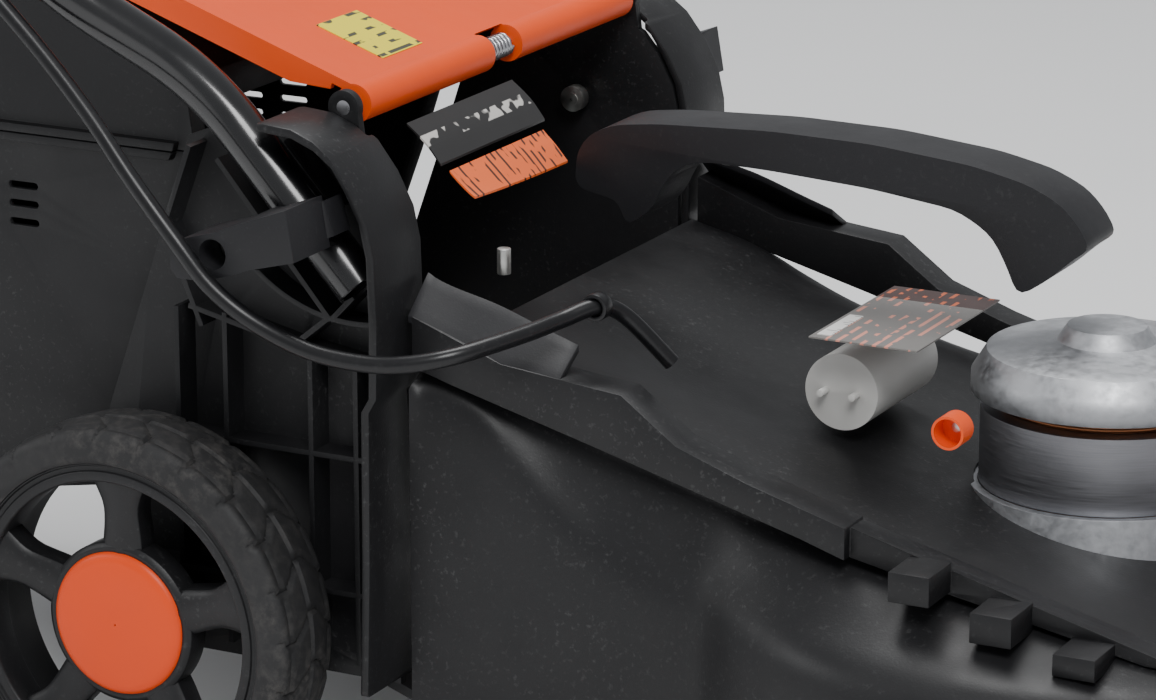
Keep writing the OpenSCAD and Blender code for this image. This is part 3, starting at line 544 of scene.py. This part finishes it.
# ---------- orange top cover ----------
RIDGE = track([(93, 290), (104, 281), (114, 269), (126, 260.5), (149, 255), (171, 250), (194, 244.4),
               (216, 239.3), (249, 232.6), (270, 228.6), (292, 225.6), (320, 223),
               (354, 218.8), (414, 208), (500, 192),
               (560, 168), (597, 146)])
SHOULDER = track([(93, 290), (104, 281), (114, 269), (126, 260), (149, 255.4), (172, 250.4), (194, 245),
                  (216, 239.5), (238, 232.6), (259, 225.2), (280, 220), (322, 212.8),
                  (364, 205.4), (422, 198.4),
                  (500, 184), (560, 162), (597, 142)])
CROWN = track([(300, 206), (330, 231), (351, 252), (374, 272), (400, 287), (440, 297), (490, 292),
               (535, 268), (570, 228), (590, 182), (597, 150)])
CREASE = track([(250, 204), (271, 202.9), (329, 196), (370, 192), (430, 189.5), (500, 180),
                (560, 158), (597, 138)])
LOWER = track([(93, 262), (104, 252), (114, 240), (123, 234.6), (149, 228), (171, 220.6), (199, 211.3),
               (216, 204.9), (249.7, 188.7), (267.5, 181), (331, 160.7), (431, 128.6),
               (470, 123.2), (597, 123.2)])
FLARE_X = track([(240, 271), (280, 290), (300, 306), (322, 326), (345, 348), (364, 366), (395, 396),
                 (458, 458)])
CREST_Y = 100
TOP_OUT = COVER_HALF + 2.5
CREASE_OUT = FLARE_HALF - 1.8
GRID_STEP = 2.6
LEAD_SLOT_X, LEAD_SLOT_Z, LEAD_SLOT_R = 192.5, 231, 6.5
WELL_X, WELL_Z, WELL_R = 345, 202.5, 5.6
RIDGE_SCREW_X, RIDGE_SCREW_Y = 142, 104
FACET_TOP = (240, 122.2, 227.5)


def cover_top(x, y):
    """Height of the cover between its two crests: beam, platform, sunken basin and hood."""
    off = min(abs(y) / CREST_Y, 1.0)
    level = RIDGE(x) - 7 * smoothstep((x - 116) / 18) * (1 - off**2.2)
    from_side = smoothstep((CREST_Y - 1.5 - abs(y)) / 20)
    from_rear = smoothstep((x - 136 - 30 * (abs(y) / 92) ** 2.2) / 36)
    basin = level - (level - FLOOR_Z) * from_side * from_rear
    if x < 296:
        return basin
    face = FLOOR_Z + (x - 309) * 0.98
    dome = RIDGE(x) + max(CROWN(x) - RIDGE(x), 0) * (1 - off**2.5)
    return soft_max(basin, soft_min(face, dome, 9), 5)


def flank_line(x):
    """Upper and lower ends of the sloping flank's straight line at a shoulder place x."""
    out = FLARE_X(x)
    return Vector((x, TOP_OUT, SHOULDER(x))), Vector((out, CREASE_OUT, CREASE(out)))


def cover_keys():
    """Key columns from rear to nose: inner x, facet or shoulder point, crease point, lower edge point."""
    keys = []
    for x in (93, 98, 104, 109, 114, 120, 126, 138, 149, 160, 171, 185, 199):
        edge = Vector((x, COVER_HALF, LOWER(x)))
        top = Vector((x, COVER_HALF, SHOULDER(x)))
        keys.append((x, lerp(top, edge, 0.15), lerp(top, edge, 0.6), edge))
    corner = Vector(FACET_TOP)
    for edge, crease in (((216, COVER_HALF, 204.9), None), ((249.7, 137.2, 188.7), None),
                         ((267.5, FLARE_HALF, 181), (270.8, 137, 202.9))):
        edge = Vector(edge)
        keys.append((FACET_TOP[0], corner, Vector(crease) if crease else lerp(corner, edge, 0.6), edge))
    for x in (280, 300, 322, 345, 364, 395, 430, NOSE_X):
        top, crease = flank_line(x)
        keys.append((x, lerp(top, crease, 0.2), crease, Vector((crease.x, FLARE_HALF, LOWER(crease.x)))))
    for step in range(1, 12):
        a = math.radians(8 * step)
        x, k = NOSE_X + FLARE_HALF * math.sin(a), max(math.cos(a), 0.02)
        crease = Vector((x, (FLARE_HALF - 1.5) * k, CREASE(x)))
        top = Vector((x, TOP_OUT * k, SHOULDER(x)))
        keys.append((x, lerp(top, crease, 0.2), crease, Vector((x, FLARE_HALF * k, LOWER(x)))))
    return keys


def nose_scale(x):
    """Share of the full width that the cover still has at x: 1 along the sides, small at the nose tip."""
    return max(math.sqrt(max(FLARE_HALF**2 - max(x - NOSE_X, 0) ** 2, 0)) / FLARE_HALF, 0.02)


def cover_column(x, facet, crease, edge):
    """Points of half a cross section, from the mid plane out and down to the lower edge."""
    k = nose_scale(x)
    half = [Vector((x, CREST_Y * k * j / 34, cover_top(x, CREST_Y * j / 34))) for j in range(35)]
    crest = half[-1]
    shoulder_y = (COVER_HALF - 1.5 + 4 * smoothstep((x - 236) / 40)) * k
    shoulder = Vector((x, min(shoulder_y, facet.y), SHOULDER(x)))
    half += [lerp(crest, shoulder, j / 7) for j in range(1, 8)]
    half += [lerp(shoulder, facet, j / 2) for j in range(1, 3)]
    half += [lerp(facet, crease, j / 6) for j in range(1, 7)]
    half += [lerp(crease, edge, j / 6) for j in range(1, 7)]
    return half


def build_cover():
    keys = cover_keys()
    columns = []
    for a, b in zip(keys, keys[1:]):
        steps = max(2, round((b[3] - a[3]).length / GRID_STEP), round((b[0] - a[0]) / GRID_STEP))
        columns += [tuple(lerp(p, q, i / steps) for p, q in zip(a, b)) for i in range(steps)]
    columns.append(keys[-1])
    verts = []
    for column in columns:
        half = cover_column(*column)
        verts += [(p.x, -p.y, p.z) for p in reversed(half)] + [tuple(p) for p in half[1:]]
    rows = len(columns)
    faces = grid_faces(rows, len(verts) // rows)
    cover = piece_from("orange_top_cover", verts, faces, "orange_cover", "chassis", ["top_cover"])
    bm = bmesh.new()
    bm.from_mesh(cover.data)
    bmesh.ops.dissolve_degenerate(bm, edges=bm.edges, dist=0.01 * MM)
    crests = [v for v in bm.verts if not v.is_boundary and abs(v.co.y) < 118 * nose_scale(v.co.x / MM) * MM]
    relax(bm, crests, 4)
    bmesh.ops.recalc_face_normals(bm, faces=bm.faces)
    settle(bm, cover)
    cut_cover(cover)
    finish_edges(cover, 0, 38)


def sheet(point, nu, nv, below, above):
    """Closed thin solid round a curved patch. The point function gives place and outward direction."""
    near, far = [], []
    for i in range(nu + 1):
        for j in range(nv + 1):
            place, out = point(i / nu, j / nv)
            near.append(tuple(place + out * above))
            far.append(tuple(place - out * below))
    n = (nu + 1) * (nv + 1)
    faces = grid_faces(nu + 1, nv + 1)
    rim = list(range(nv + 1)) + [i * (nv + 1) + nv for i in range(1, nu + 1)]
    rim += [nu * (nv + 1) + j for j in range(nv - 1, -1, -1)] + [i * (nv + 1) for i in range(nu - 1, 0, -1)]
    after = rim[1:] + rim[:1]
    sides = [(a, b, n + b, n + a) for a, b in zip(rim, after)]
    return near + far, faces + [tuple(n + v for v in reversed(f)) for f in faces] + sides


def flank_panel(side):
    """Cutter for the flank's sunken panel: long, with a pointed front end."""

    def point(u, v):
        tip = 344 + 34 * v / 0.45 if v < 0.45 else 378 - 24 * (v - 0.45) / 0.55
        x, t = lerp(lerp(251, 263, v), tip, u), 0.12 + 0.80 * v
        p = lerp(*flank_line(x), t)
        return Vector((p.x, side * p.y, p.z)), Vector((0, side * 0.787, 0.617))

    return sheet(point, 30, 8, 1.0, 8)


def cut_cover(cover):
    """Lead slot on the right, and on both sides the panel, the screw well and the ridge screw's hole."""
    near, far = LEAD_SLOT_X - LEAD_SLOT_R, LEAD_SLOT_X + LEAD_SLOT_R
    arch = [(near, 196), (far, 196), (far, LEAD_SLOT_Z)]
    for i in range(1, 12):
        a = math.pi * i / 12
        arch.append((LEAD_SLOT_X + LEAD_SLOT_R * math.cos(a), LEAD_SLOT_Z + LEAD_SLOT_R * math.sin(a)))
    arch.append((near, LEAD_SLOT_Z))
    carve(cover, slab(arch, -126, -108))
    for side in (RIGHT, LEFT):
        carve(cover, flank_panel(side))
        start = 118 if side > 0 else -150
        carve(cover, cylinder_along("Y", (WELL_X, start, WELL_Z), WELL_R, 32))
        carve(cover, cylinder_along("Z", (RIDGE_SCREW_X, side * RIDGE_SCREW_Y, 250), 3.2, 20))
    slots = [slab(rounded_outline([(500, 186), (620, 186), (620, 246), (500, 246)], 3), y - 2.6, y + 2.6)
             for y in range(-56, 57, 14)]
    carve(cover, joined(*slots))


def cover_details():
    """Screw wells of the flanks, the four sunken screws and the lead's grommet."""
    wells, screws = [], []
    for side in (RIGHT, LEFT):
        wall, base, shaft = (
            [Vector((WELL_X, side * y, WELL_Z)) for y in stations]
            for stations in ((119.5, 124, 128.6), (118.4, 119.6), (110, 119.7))
        )
        wells.append(sweep(wall, WELL_R + 1, 40, inner=WELL_R))
        wells.append(sweep(base, WELL_R + 1, 40))
        screws.append(sweep(shaft, 2.1, 20))
        ridge = [Vector((RIDGE_SCREW_X, side * RIDGE_SCREW_Y, z)) for z in (234, 243, 244.6)]
        screws.append(sweep(ridge, 2.8, 24))
    v, f = joined(*wells)
    finish_edges(piece_from("screw_wells", v, f, "orange_cover", "chassis"), 0)
    v, f = joined(*screws)
    finish_edges(piece_from("sunken_screws", v, f, "zinc_screw", "chassis", ["cover_screws"]), 0.3)
    ring = [Vector((LEAD_SLOT_X, y, LEAD_SLOT_Z)) for y in (-124, -121, -118)]
    v, f = sweep(ring, 5.6, 32, inner=3.7)
    finish_edges(piece_from("lead_grommet", v, f, "rubber_lead", "chassis", ["lead_gland"]), 0.5)


build_cover()
cover_details()


def decal(name, x0, x1, y0, y1, height, material, lift=0.35):
    """Thin printed plate that lies on a surface given by its height."""

    def point(u, v):
        x, y = lerp(x0, x1, u), lerp(y0, y1, v)
        return Vector((x, y, height(x, y))), Vector((0, 0, 1))

    v, f = sheet(point, 12, 10, 0.3, lift)
    piece_from(name, v, f, "orange_cover", "chassis", material=material)


decal("beam_plate", 94.5, 110, -98, -8, cover_top, DARK_PRINT, lift=0.7)
decal("beam_strip", 112.5, 124, -95, -14, cover_top, STRIP_PRINT, lift=0.6)
decal("rating_plate", 257, 304, -62, 6, lambda x, y: FLOOR_Z, GREY_PRINT)
decal("rating_plate_band", 257, 304, 6.2, 24, lambda x, y: FLOOR_Z, RUST_PRINT)
decal("rating_plate_strip", 259, 265, -58, -26, lambda x, y: FLOOR_Z + 0.4, WHITE_PRINT)


# ---------- blade housing ----------
HOUSING_EDGE = track([(118, 194), (134, 192.5), (151, 184), (168, 165.5), (185, 148), (204, 135), (230, 127),
                      (269, 121.5), (310, 120), (374, 120), (540, 119), (575, 112), (600, 98)])
HOUSING_ROOF = track([(118, 203), (136, 199), (159, 193), (203, 180), (289, 157), (331, 147), (431, 127),
                      (480, 123), (540, 121), (575, 114), (597, 104)])


NOSE_HALF = 118
NOSE_CORNER_X = 572
FRONT_X = 600


def housing_plan():
    """Half of the plan as pairs of an outer and an inner point: straight, round, straight, corner."""
    meet = math.degrees(math.acos(DECK_HALF / HOUSING_R))
    leave = math.degrees(math.acos(NOSE_HALF / HOUSING_R))
    joint = BLADE_X - HOUSING_R * math.sin(math.radians(meet))
    exit_x = BLADE_X + HOUSING_R * math.sin(math.radians(leave))
    pairs = []
    for i in range(54):
        x = lerp(118, joint, i / 54)
        pairs.append((Vector((x, DECK_HALF)), Vector((x, 116))))
    for i in range(90):
        a = math.radians(lerp(-meet, leave, i / 90))
        outer = Vector((BLADE_X + HOUSING_R * math.sin(a), HOUSING_R * math.cos(a)))
        pairs.append((outer, Vector((lerp(joint, exit_x, i / 90), 116 - 22 * smoothstep(i / 90)))))
    for i in range(20):
        x = lerp(exit_x, NOSE_CORNER_X, i / 20)
        pairs.append((Vector((x, NOSE_HALF)), Vector((x - 1.5 * i / 20, 94))))
    for i in range(25):
        a = math.radians(90 * i / 24)
        corner = Vector((NOSE_CORNER_X + 28 * math.sin(a), 90 + 28 * math.cos(a)))
        pairs.append((corner, Vector((570.5 + 6 * math.sin(a), 90 + 4 * math.cos(a)))))
    for y in (45, 0):
        pairs.append((Vector((FRONT_X, y)), Vector((576.5, y))))
    return pairs


def build_housing():
    """Blade housing: a roof that falls from the rail, a soft step, a shoulder and an upright wall."""
    pairs = housing_plan()
    verts = []
    for outer, inner in pairs:
        roof, edge = HOUSING_ROOF(inner.x), HOUSING_EDGE(outer.x)
        rise = roof - edge
        half = [(inner.x, 0, roof), (inner.x, inner.y * 0.5, roof)]
        for j in range(19):
            t = j / 18
            p = lerp(inner, outer, t)
            fall = 0.30 * smoothstep(t / 0.5) + 0.52 * smoothstep((t - 0.42) / 0.34) + 0.18 * t**4
            half.append((p.x, p.y, roof - rise * fall - 2.0 * t**6))
        for j in range(1, 15):
            t = j / 14
            half.append((outer.x, outer.y, lerp(edge - 2, RIM_Z, t)))
        verts += [(x, -y, z) for x, y, z in reversed(half[1:])] + half
    columns = len(verts) // len(pairs)
    faces = grid_faces(len(pairs), columns)
    deck = piece_from("blade_housing", verts, faces, "black_shell", "chassis", ["deck_shell"])
    bm = bmesh.new()
    bm.from_mesh(deck.data)
    inner = [v for v in bm.verts if not v.is_boundary]
    relax(bm, inner, 30)
    settle(bm, deck)
    carve(deck, cylinder_along("Z", (BLADE_X, 0, 90), 52, 90))
    finish_edges(deck, 0, 38)
    for side in (RIGHT, LEFT):
        name = "front_bracket_right" if side < 0 else "front_bracket_left"
        plate = rounded_outline([(502, 46), (556, 46), (549, 92), (511, 92)], 9)
        v, f = slab(plate, side * 116, side * 144)
        bracket = piece_from(name, v, f, "black_shell", "chassis")
        finish_edges(bracket, 1.5)


build_housing()


def rail_shoulders():
    """Sloping shoulder of each side rail, from the rail's outer edge up to the cover."""
    outer_z = track([(119, 222), (137, 214.5), (159, 207.5), (186, 204.6)])
    for side, hand in ((RIGHT, "right"), (LEFT, "left")):

        def point(u, v, side=side):
            x = lerp(117, 185, u)
            z = lerp(LOWER(x) - 1.5, outer_z(x), v)
            return Vector((x, side * lerp(121.6, 138.6, v), z)), Vector((0, 0, 1))

        v, f = sheet(point, 20, 4, 3, 0)
        finish_edges(piece_from("rail_shoulder_" + hand, v, f, "black_grip", "chassis"), 0.4)


rail_shoulders()


HINGE_X, HINGE_Z = 81, 300
FLAP_SLOPE = math.radians(19)
FLAP_TOP = 7
STICKER_NEAR, STICKER_FAR = 11, 44
STICKER_RIGHT, STICKER_LEFT = -79, -46


def noise_sticker():
    """Plain yellow sticker on the rear flap, without any figure or letter."""
    out = Vector((math.sin(FLAP_SLOPE), 0, math.cos(FLAP_SLOPE)))

    def point(u, v):
        reach, y = lerp(STICKER_NEAR, STICKER_FAR, u), lerp(STICKER_RIGHT, STICKER_LEFT, v)
        x = HINGE_X - reach * math.cos(FLAP_SLOPE) + FLAP_TOP * math.sin(FLAP_SLOPE)
        z = HINGE_Z + reach * math.sin(FLAP_SLOPE) + FLAP_TOP * math.cos(FLAP_SLOPE)
        return Vector((x, y, z)), out

    v, f = sheet(point, 3, 3, 0.2, 0.35)
    piece_from("flap_sticker", v, f, "orange_cover", "flap", material=YELLOW_PRINT)


noise_sticker()


# ---------- wheels ----------
def tyre_profile(r, w):
    """Closed profile of a tyre, as (radius, depth), finely divided across the tread."""
    bead = r - 15.5
    side_out = [(bead, 2.2), (bead + 1.5, 0.9), (bead + 4, 0.6), (bead + 8, 0.5), (r - 5.5, 0.5)]
    side_out.append((r - 3.2, 1.4))
    tread = []
    for j in range(23):
        t = j / 22
        tread.append((r - 1.6 + 1.6 * math.sin(math.pi * t), lerp(3.2, w - 3.2, t)))
    side_in = [(r - 3.2, w - 1.4), (r - 5.5, w - 0.5), (bead + 4, w - 0.6), (bead, w - 2)]
    return side_out + tread + side_in + [(bead - 0.5, w * 0.5)]


def build_tyre(name, node, body, x, r, w, side, blocks):
    """Tyre with wavy tread blocks, cut as grooves into a finely divided ring."""
    profile = tyre_profile(r, w)
    steps = blocks * 14
    verts = []
    for k in range(steps):
        for radius, depth in profile:
            across = depth / w
            wave = 0.20 * math.sin(across * 2 * math.pi * 1.25) + 0.32 * abs(across - 0.5)
            phase = (k / 14 + wave) % 1.0
            cross_groove = 1.0 - smoothstep(abs(phase - 0.5) / 0.055 - 0.35)
            ring = abs(((across * 3.0) % 1.0) - 0.5)
            ring_groove = (1.0 - smoothstep(ring / 0.05 - 0.2)) * (0.14 < across < 0.86)
            on_tread = smoothstep((radius - (r - 9)) / 4)
            cut = max(1.7 * cross_groove * on_tread, 1.2 * ring_groove * on_tread)
            a = 2 * math.pi * k / steps
            rr = radius - cut * (1 if radius > r - 5 else 0.0)
            dd = depth + (0.8 * cross_groove * on_tread if depth < w * 0.1 else 0)
            verts.append((x + rr * math.cos(a), side * (WHEEL_FACE - dd), r + rr * math.sin(a)))
    tyre = piece_from(name, verts, grid_faces(steps, len(profile), True, True), "tyre_rubber", body, [node])
    finish_edges(tyre, 0, 38)


def spoke(cap_r, bead, w, angle, x, z, side):
    """One spoke: a dished blade, wide where it meets the barrel and waisted at the hub."""
    stations = 12
    verts = []
    for i in range(stations + 1):
        t = i / stations
        r = lerp(cap_r - 1, bead - 3, t)
        if t < 0.5:
            half = lerp(9.5, 8.2, smoothstep(t / 0.5))
        else:
            half = lerp(8.2, 13.5, smoothstep((t - 0.5) / 0.5))
        front = 8.5 - 3.5 * smoothstep((t - 0.15) / 0.85)
        back = front + w * 0.3
        section = [(-1, back), (-1, front + 2.2), (-0.72, front + 0.2), (0, front - 0.6)]
        section += [(0.72, front + 0.2), (1, front + 2.2), (1, back)]
        for u, depth in section:
            c, s = math.cos(angle), math.sin(angle)
            px, pz = r * c - u * half * s, r * s + u * half * c
            verts.append((x + px, side * (WHEEL_FACE - depth), z + pz))
    faces = grid_faces(stations + 1, 7, close_columns=True)
    faces += [tuple(range(7))[::-1], tuple(stations * 7 + j for j in range(7))]
    return verts, faces


def build_rim(name, node, body, x, r, w, cap_r, side):
    bead = r - 15.5
    barrel = [(bead - 8, 4.2), (bead - 7.2, 3.0), (bead - 3.6, 3.0), (bead - 3.2, 4.2), (bead - 1.2, 4.2),
              (bead - 0.8, 2.6), (bead - 0.1, 2.6), (bead - 0.1, w - 2), (bead - 5, w - 2),
              (bead - 5, w * 0.5), (bead - 8, w * 0.45)]
    hub = [(cap_r + 1.5, 8), (cap_r + 3.5, 9.5), (cap_r + 3.5, w * 0.5), (14, w * 0.55), (12, w - 3),
           (6.1, w - 3), (6.1, 14), (cap_r - 3, 13), (cap_r - 0.5, 8.2)]
    parts = [turned(barrel, (x, r), 120, side), turned(hub, (x, r), 96, side)]
    parts += [spoke(cap_r, bead, w, math.radians(88 + 72 * k), x, r, side) for k in range(5)]
    verts, faces = joined(*parts)
    rim = piece_from(name, verts, faces, "black_rim", body, [node])
    finish_edges(rim, 0.5, 38)


def build_cap(name, node, body, x, r, cap_r, side):
    dome = [(0.4, 5.2), (cap_r * 0.5, 5.3), (cap_r * 0.85, 5.7), (cap_r - 2.2, 6.2), (cap_r - 0.7, 7.2),
            (cap_r - 0.1, 8.8), (cap_r - 0.1, 11.5), (cap_r - 2, 11.5), (0.4, 9.5)]
    verts, faces = turned(dome, (x, r), 96, side)
    cap = piece_from(name, verts, faces, "orange_cap", body, [node])
    finish_edges(cap, 0, 60)


for end, x, r, w, cap_r, blocks in (("rear", 0, REAR_R, REAR_W, REAR_CAP, 24),
                                    ("front", WHEELBASE, FRONT_R, FRONT_W, FRONT_CAP, 20)):
    for hand, side in (("right", RIGHT), ("left", LEFT)):
        stem = end + "_" + hand
        build_tyre(stem + "_tread", stem + "_tyre", stem + "_wheel", x, r, w, side, blocks)
        build_rim(stem + "_spokes", stem + "_rim", stem + "_wheel", x, r, w, cap_r, side)
        build_cap(stem + "_dome", stem + "_cap", stem + "_wheel", x, r, cap_r, side)


# ---------- handle tubes ----------
def lower_tube(side):
    """Bent tube from its socket in the frame up to the folding pivot."""
    path = [(98.2, -143, 232.2), (27.7, -143, 309.2), (-22, -174, 349), (-237, -174, 542.8)]
    path = round_corners([(x, y * (1 if side < 0 else -1), z) for x, y, z in path], 26, 10)
    verts, faces = sweep(path, TUBE_R, 36, inner=TUBE_R - 1.5)
    hand = "right" if side < 0 else "left"
    tube = piece_from("handle_tube_" + hand, verts, faces, "black_tube", "chassis", ["lower_tube_" + hand])
    finish_edges(tube, 0.4, 38, 1, 60)


lower_tube(RIGHT)
lower_tube(LEFT)


# ---------- motor lead: one length from the cover's slot to the switch box ----------
LEAD_LOW = [(214, -98, 205), (199, -109, 225), (192.5, -121, 231), (184, -134, 228), (178, -150, 226),
            (170, -167, 224), (160, -181, 221.5), (145, -188.5, 218.5), (128, -191, 217), (104, -192, 219),
            (80, -194, 228), (62, -197, 241), (47, -198, 258), (26, -196, 280), (5, -192, 302),
            (-18, -189, 324), (-42, -188, 346), (-70, -188, 372), (-100, -187, 400),
            (-128, -182, 424), (-152, -168, 444),
            (-172, -150, 464), (-192, -138, 490), (-207, -135, 509), (-214, -134.5, 519)]
LEAD_BEND = [(-219, -134.5, 525.5), (-225, -134.5, 531.5), (-235.4, -134.5, 541.4)]
LEAD_HIGH = [(-40, -134.5, 0), (-80, -135, 0), (-120, -135, 0), (-200, -135, 0), (-280, -135, 0),
             (-330, -134, -5), (-365, -120, -11), (-388, -108, -12), (-401, -106, -12), (-410, -106, -12)]


def motor_lead():
    route = LEAD_LOW + LEAD_BEND + [handle_point(p) for p in LEAD_HIGH]
    verts, faces = sweep(smooth_route(route, 6), LEAD_R, 18)
    lead = piece_from("motor_lead", verts, faces, "rubber_lead", None,
                      ["motor_lead_lower", "motor_lead_bend", "motor_lead_upper"])
    finish_edges(lead, 0, 60)
    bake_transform(lead)


motor_lead()


# ---------- carry handle ----------
def carry_handle():
    top = [(128, 252), (129, 264), (135, 272), (146, 277), (166, 279.5), (217, 282), (262, 281.5),
           (306, 277.5), (330, 272.5), (344, 266), (352, 258), (357, 249)]
    under = [(350, 244), (338, 233), (327, 226), (322, 238), (315, 250), (300, 258.5), (262, 263),
             (217, 265.5), (190, 266), (178, 263.5), (170, 256), (164, 243), (152, 234.5),
             (148, 245), (131, 248)]
    outline = rounded_outline(top + under, 7, 3)
    verts, faces = slab(outline, -15, 15)
    grip = piece_from("carry_grip", verts, faces, "black_grip", "chassis", ["carry_handle"])
    cells = [slab(rounded_outline([(x, 246), (x + 13, 246), (x + 13, 271), (x, 272)], 2), -10.5, 10.5)
             for x in range(192, 300, 16)]
    carve(grip, joined(*cells))
    carve(grip, slab([(169, 226), (171, 226), (176, 268), (174, 268)], -11, 11))
    finish_edges(grip, 3.0, 38, 3, 50)


carry_handle()


# ---------- carried CAD nodes: materials and moulded edges ----------
EDGE_WIDTH = {
    "rear_frame": 0.4, "arch_band_right": 1.2, "arch_band_left": 1.2, "side_rail_right": 1.3,
    "side_rail_left": 1.3, "rear_flap": 0.6, "grass_box_body": 1.2, "grass_box_lid": 1.2,
    "clamp_lever_right": 1.3, "clamp_lever_left": 1.3, "switch_box": 2.0, "mains_inlet": 0.6,
    "lock_button": 1.0, "knob_right": 1.2, "knob_left": 1.2, "blade": 0.5, "micro_switch": 0.5,
    "capacitor": 1.0, "upper_handle": 0.4, "bail_lever": 0.0,
}


def dress_cad_nodes():
    for part in frame["record"]["subparts"]:
        node = frame["nodes"][part["node"]]
        if node.hide_render:
            continue
        node.data.materials.clear()
        node.data.materials.append(MATERIALS[part["material_slot"]])
        finish_edges(node, EDGE_WIDTH.get(part["node"], 0.25))


dress_cad_nodes()


# ---------- floor, light and camera ----------
def studio():
    mat, tree, shader, place = node_material("studio_floor")
    tone = ramp(tree, noise(tree, place, 2.0), [(0.3, (0.83, 0.83, 0.83)), (0.7, (0.86, 0.86, 0.86))])
    tree.links.new(tone, shader.inputs["Base Color"])
    shader.inputs["Roughness"].default_value = 0.9
    half = 6.0
    mesh = bpy.data.meshes.new("studio_floor")
    corners = [(-half, -half, 0), (half, -half, 0), (half, half, 0), (-half, half, 0)]
    mesh.from_pydata(corners, [], [(0, 1, 2, 3)])
    floor = bpy.data.objects.new("studio_floor", mesh)
    bpy.context.scene.collection.objects.link(floor)
    mesh.materials.append(mat)
    world = bpy.data.worlds.new("soft_room")
    world.use_nodes = True
    world.node_tree.nodes["Background"].inputs["Color"].default_value = (0.95, 0.97, 1.0, 1)
    world.node_tree.nodes["Background"].inputs["Strength"].default_value = 0.5
    bpy.context.scene.world = world
    for name, place_at, aim, size, power in (
        ("key_softbox", (1.2, -1.6, 2.2), (0.15, 0, 0.25), 1.0, 46),
        ("top_softbox", (-0.2, 0.6, 2.6), (0.1, 0, 0.2), 1.2, 38),
        ("side_softbox", (-1.8, -1.2, 1.2), (0.0, 0, 0.3), 0.8, 9),
    ):
        light = bpy.data.lights.new(name, "AREA")
        light.size = size
        light.energy = power
        lamp = bpy.data.objects.new(name, light)
        lamp.location = place_at
        lamp.rotation_euler = (Vector(aim) - Vector(place_at)).to_track_quat("-Z", "Y").to_euler()
        bpy.context.scene.collection.objects.link(lamp)


def photo_camera():
    """Camera of the photograph: low three-quarter view of the rear right corner."""
    data = bpy.data.cameras.new("photo_camera")
    data.lens = 140.1
    data.sensor_width = 36
    camera = bpy.data.objects.new("photo_camera", data)
    right = Vector((0.8886, 0.4586, 0))
    up = Vector((-0.1272, 0.2464, 0.9608))
    back = Vector((0.4406, -0.8538, 0.2773))
    turn = Matrix((right, up, back)).transposed().to_4x4()
    camera.matrix_world = Matrix.Translation((0.9660, -1.6361, 0.7042)) @ turn
    bpy.context.scene.collection.objects.link(camera)
    bpy.context.scene.camera = camera


studio()
photo_camera()
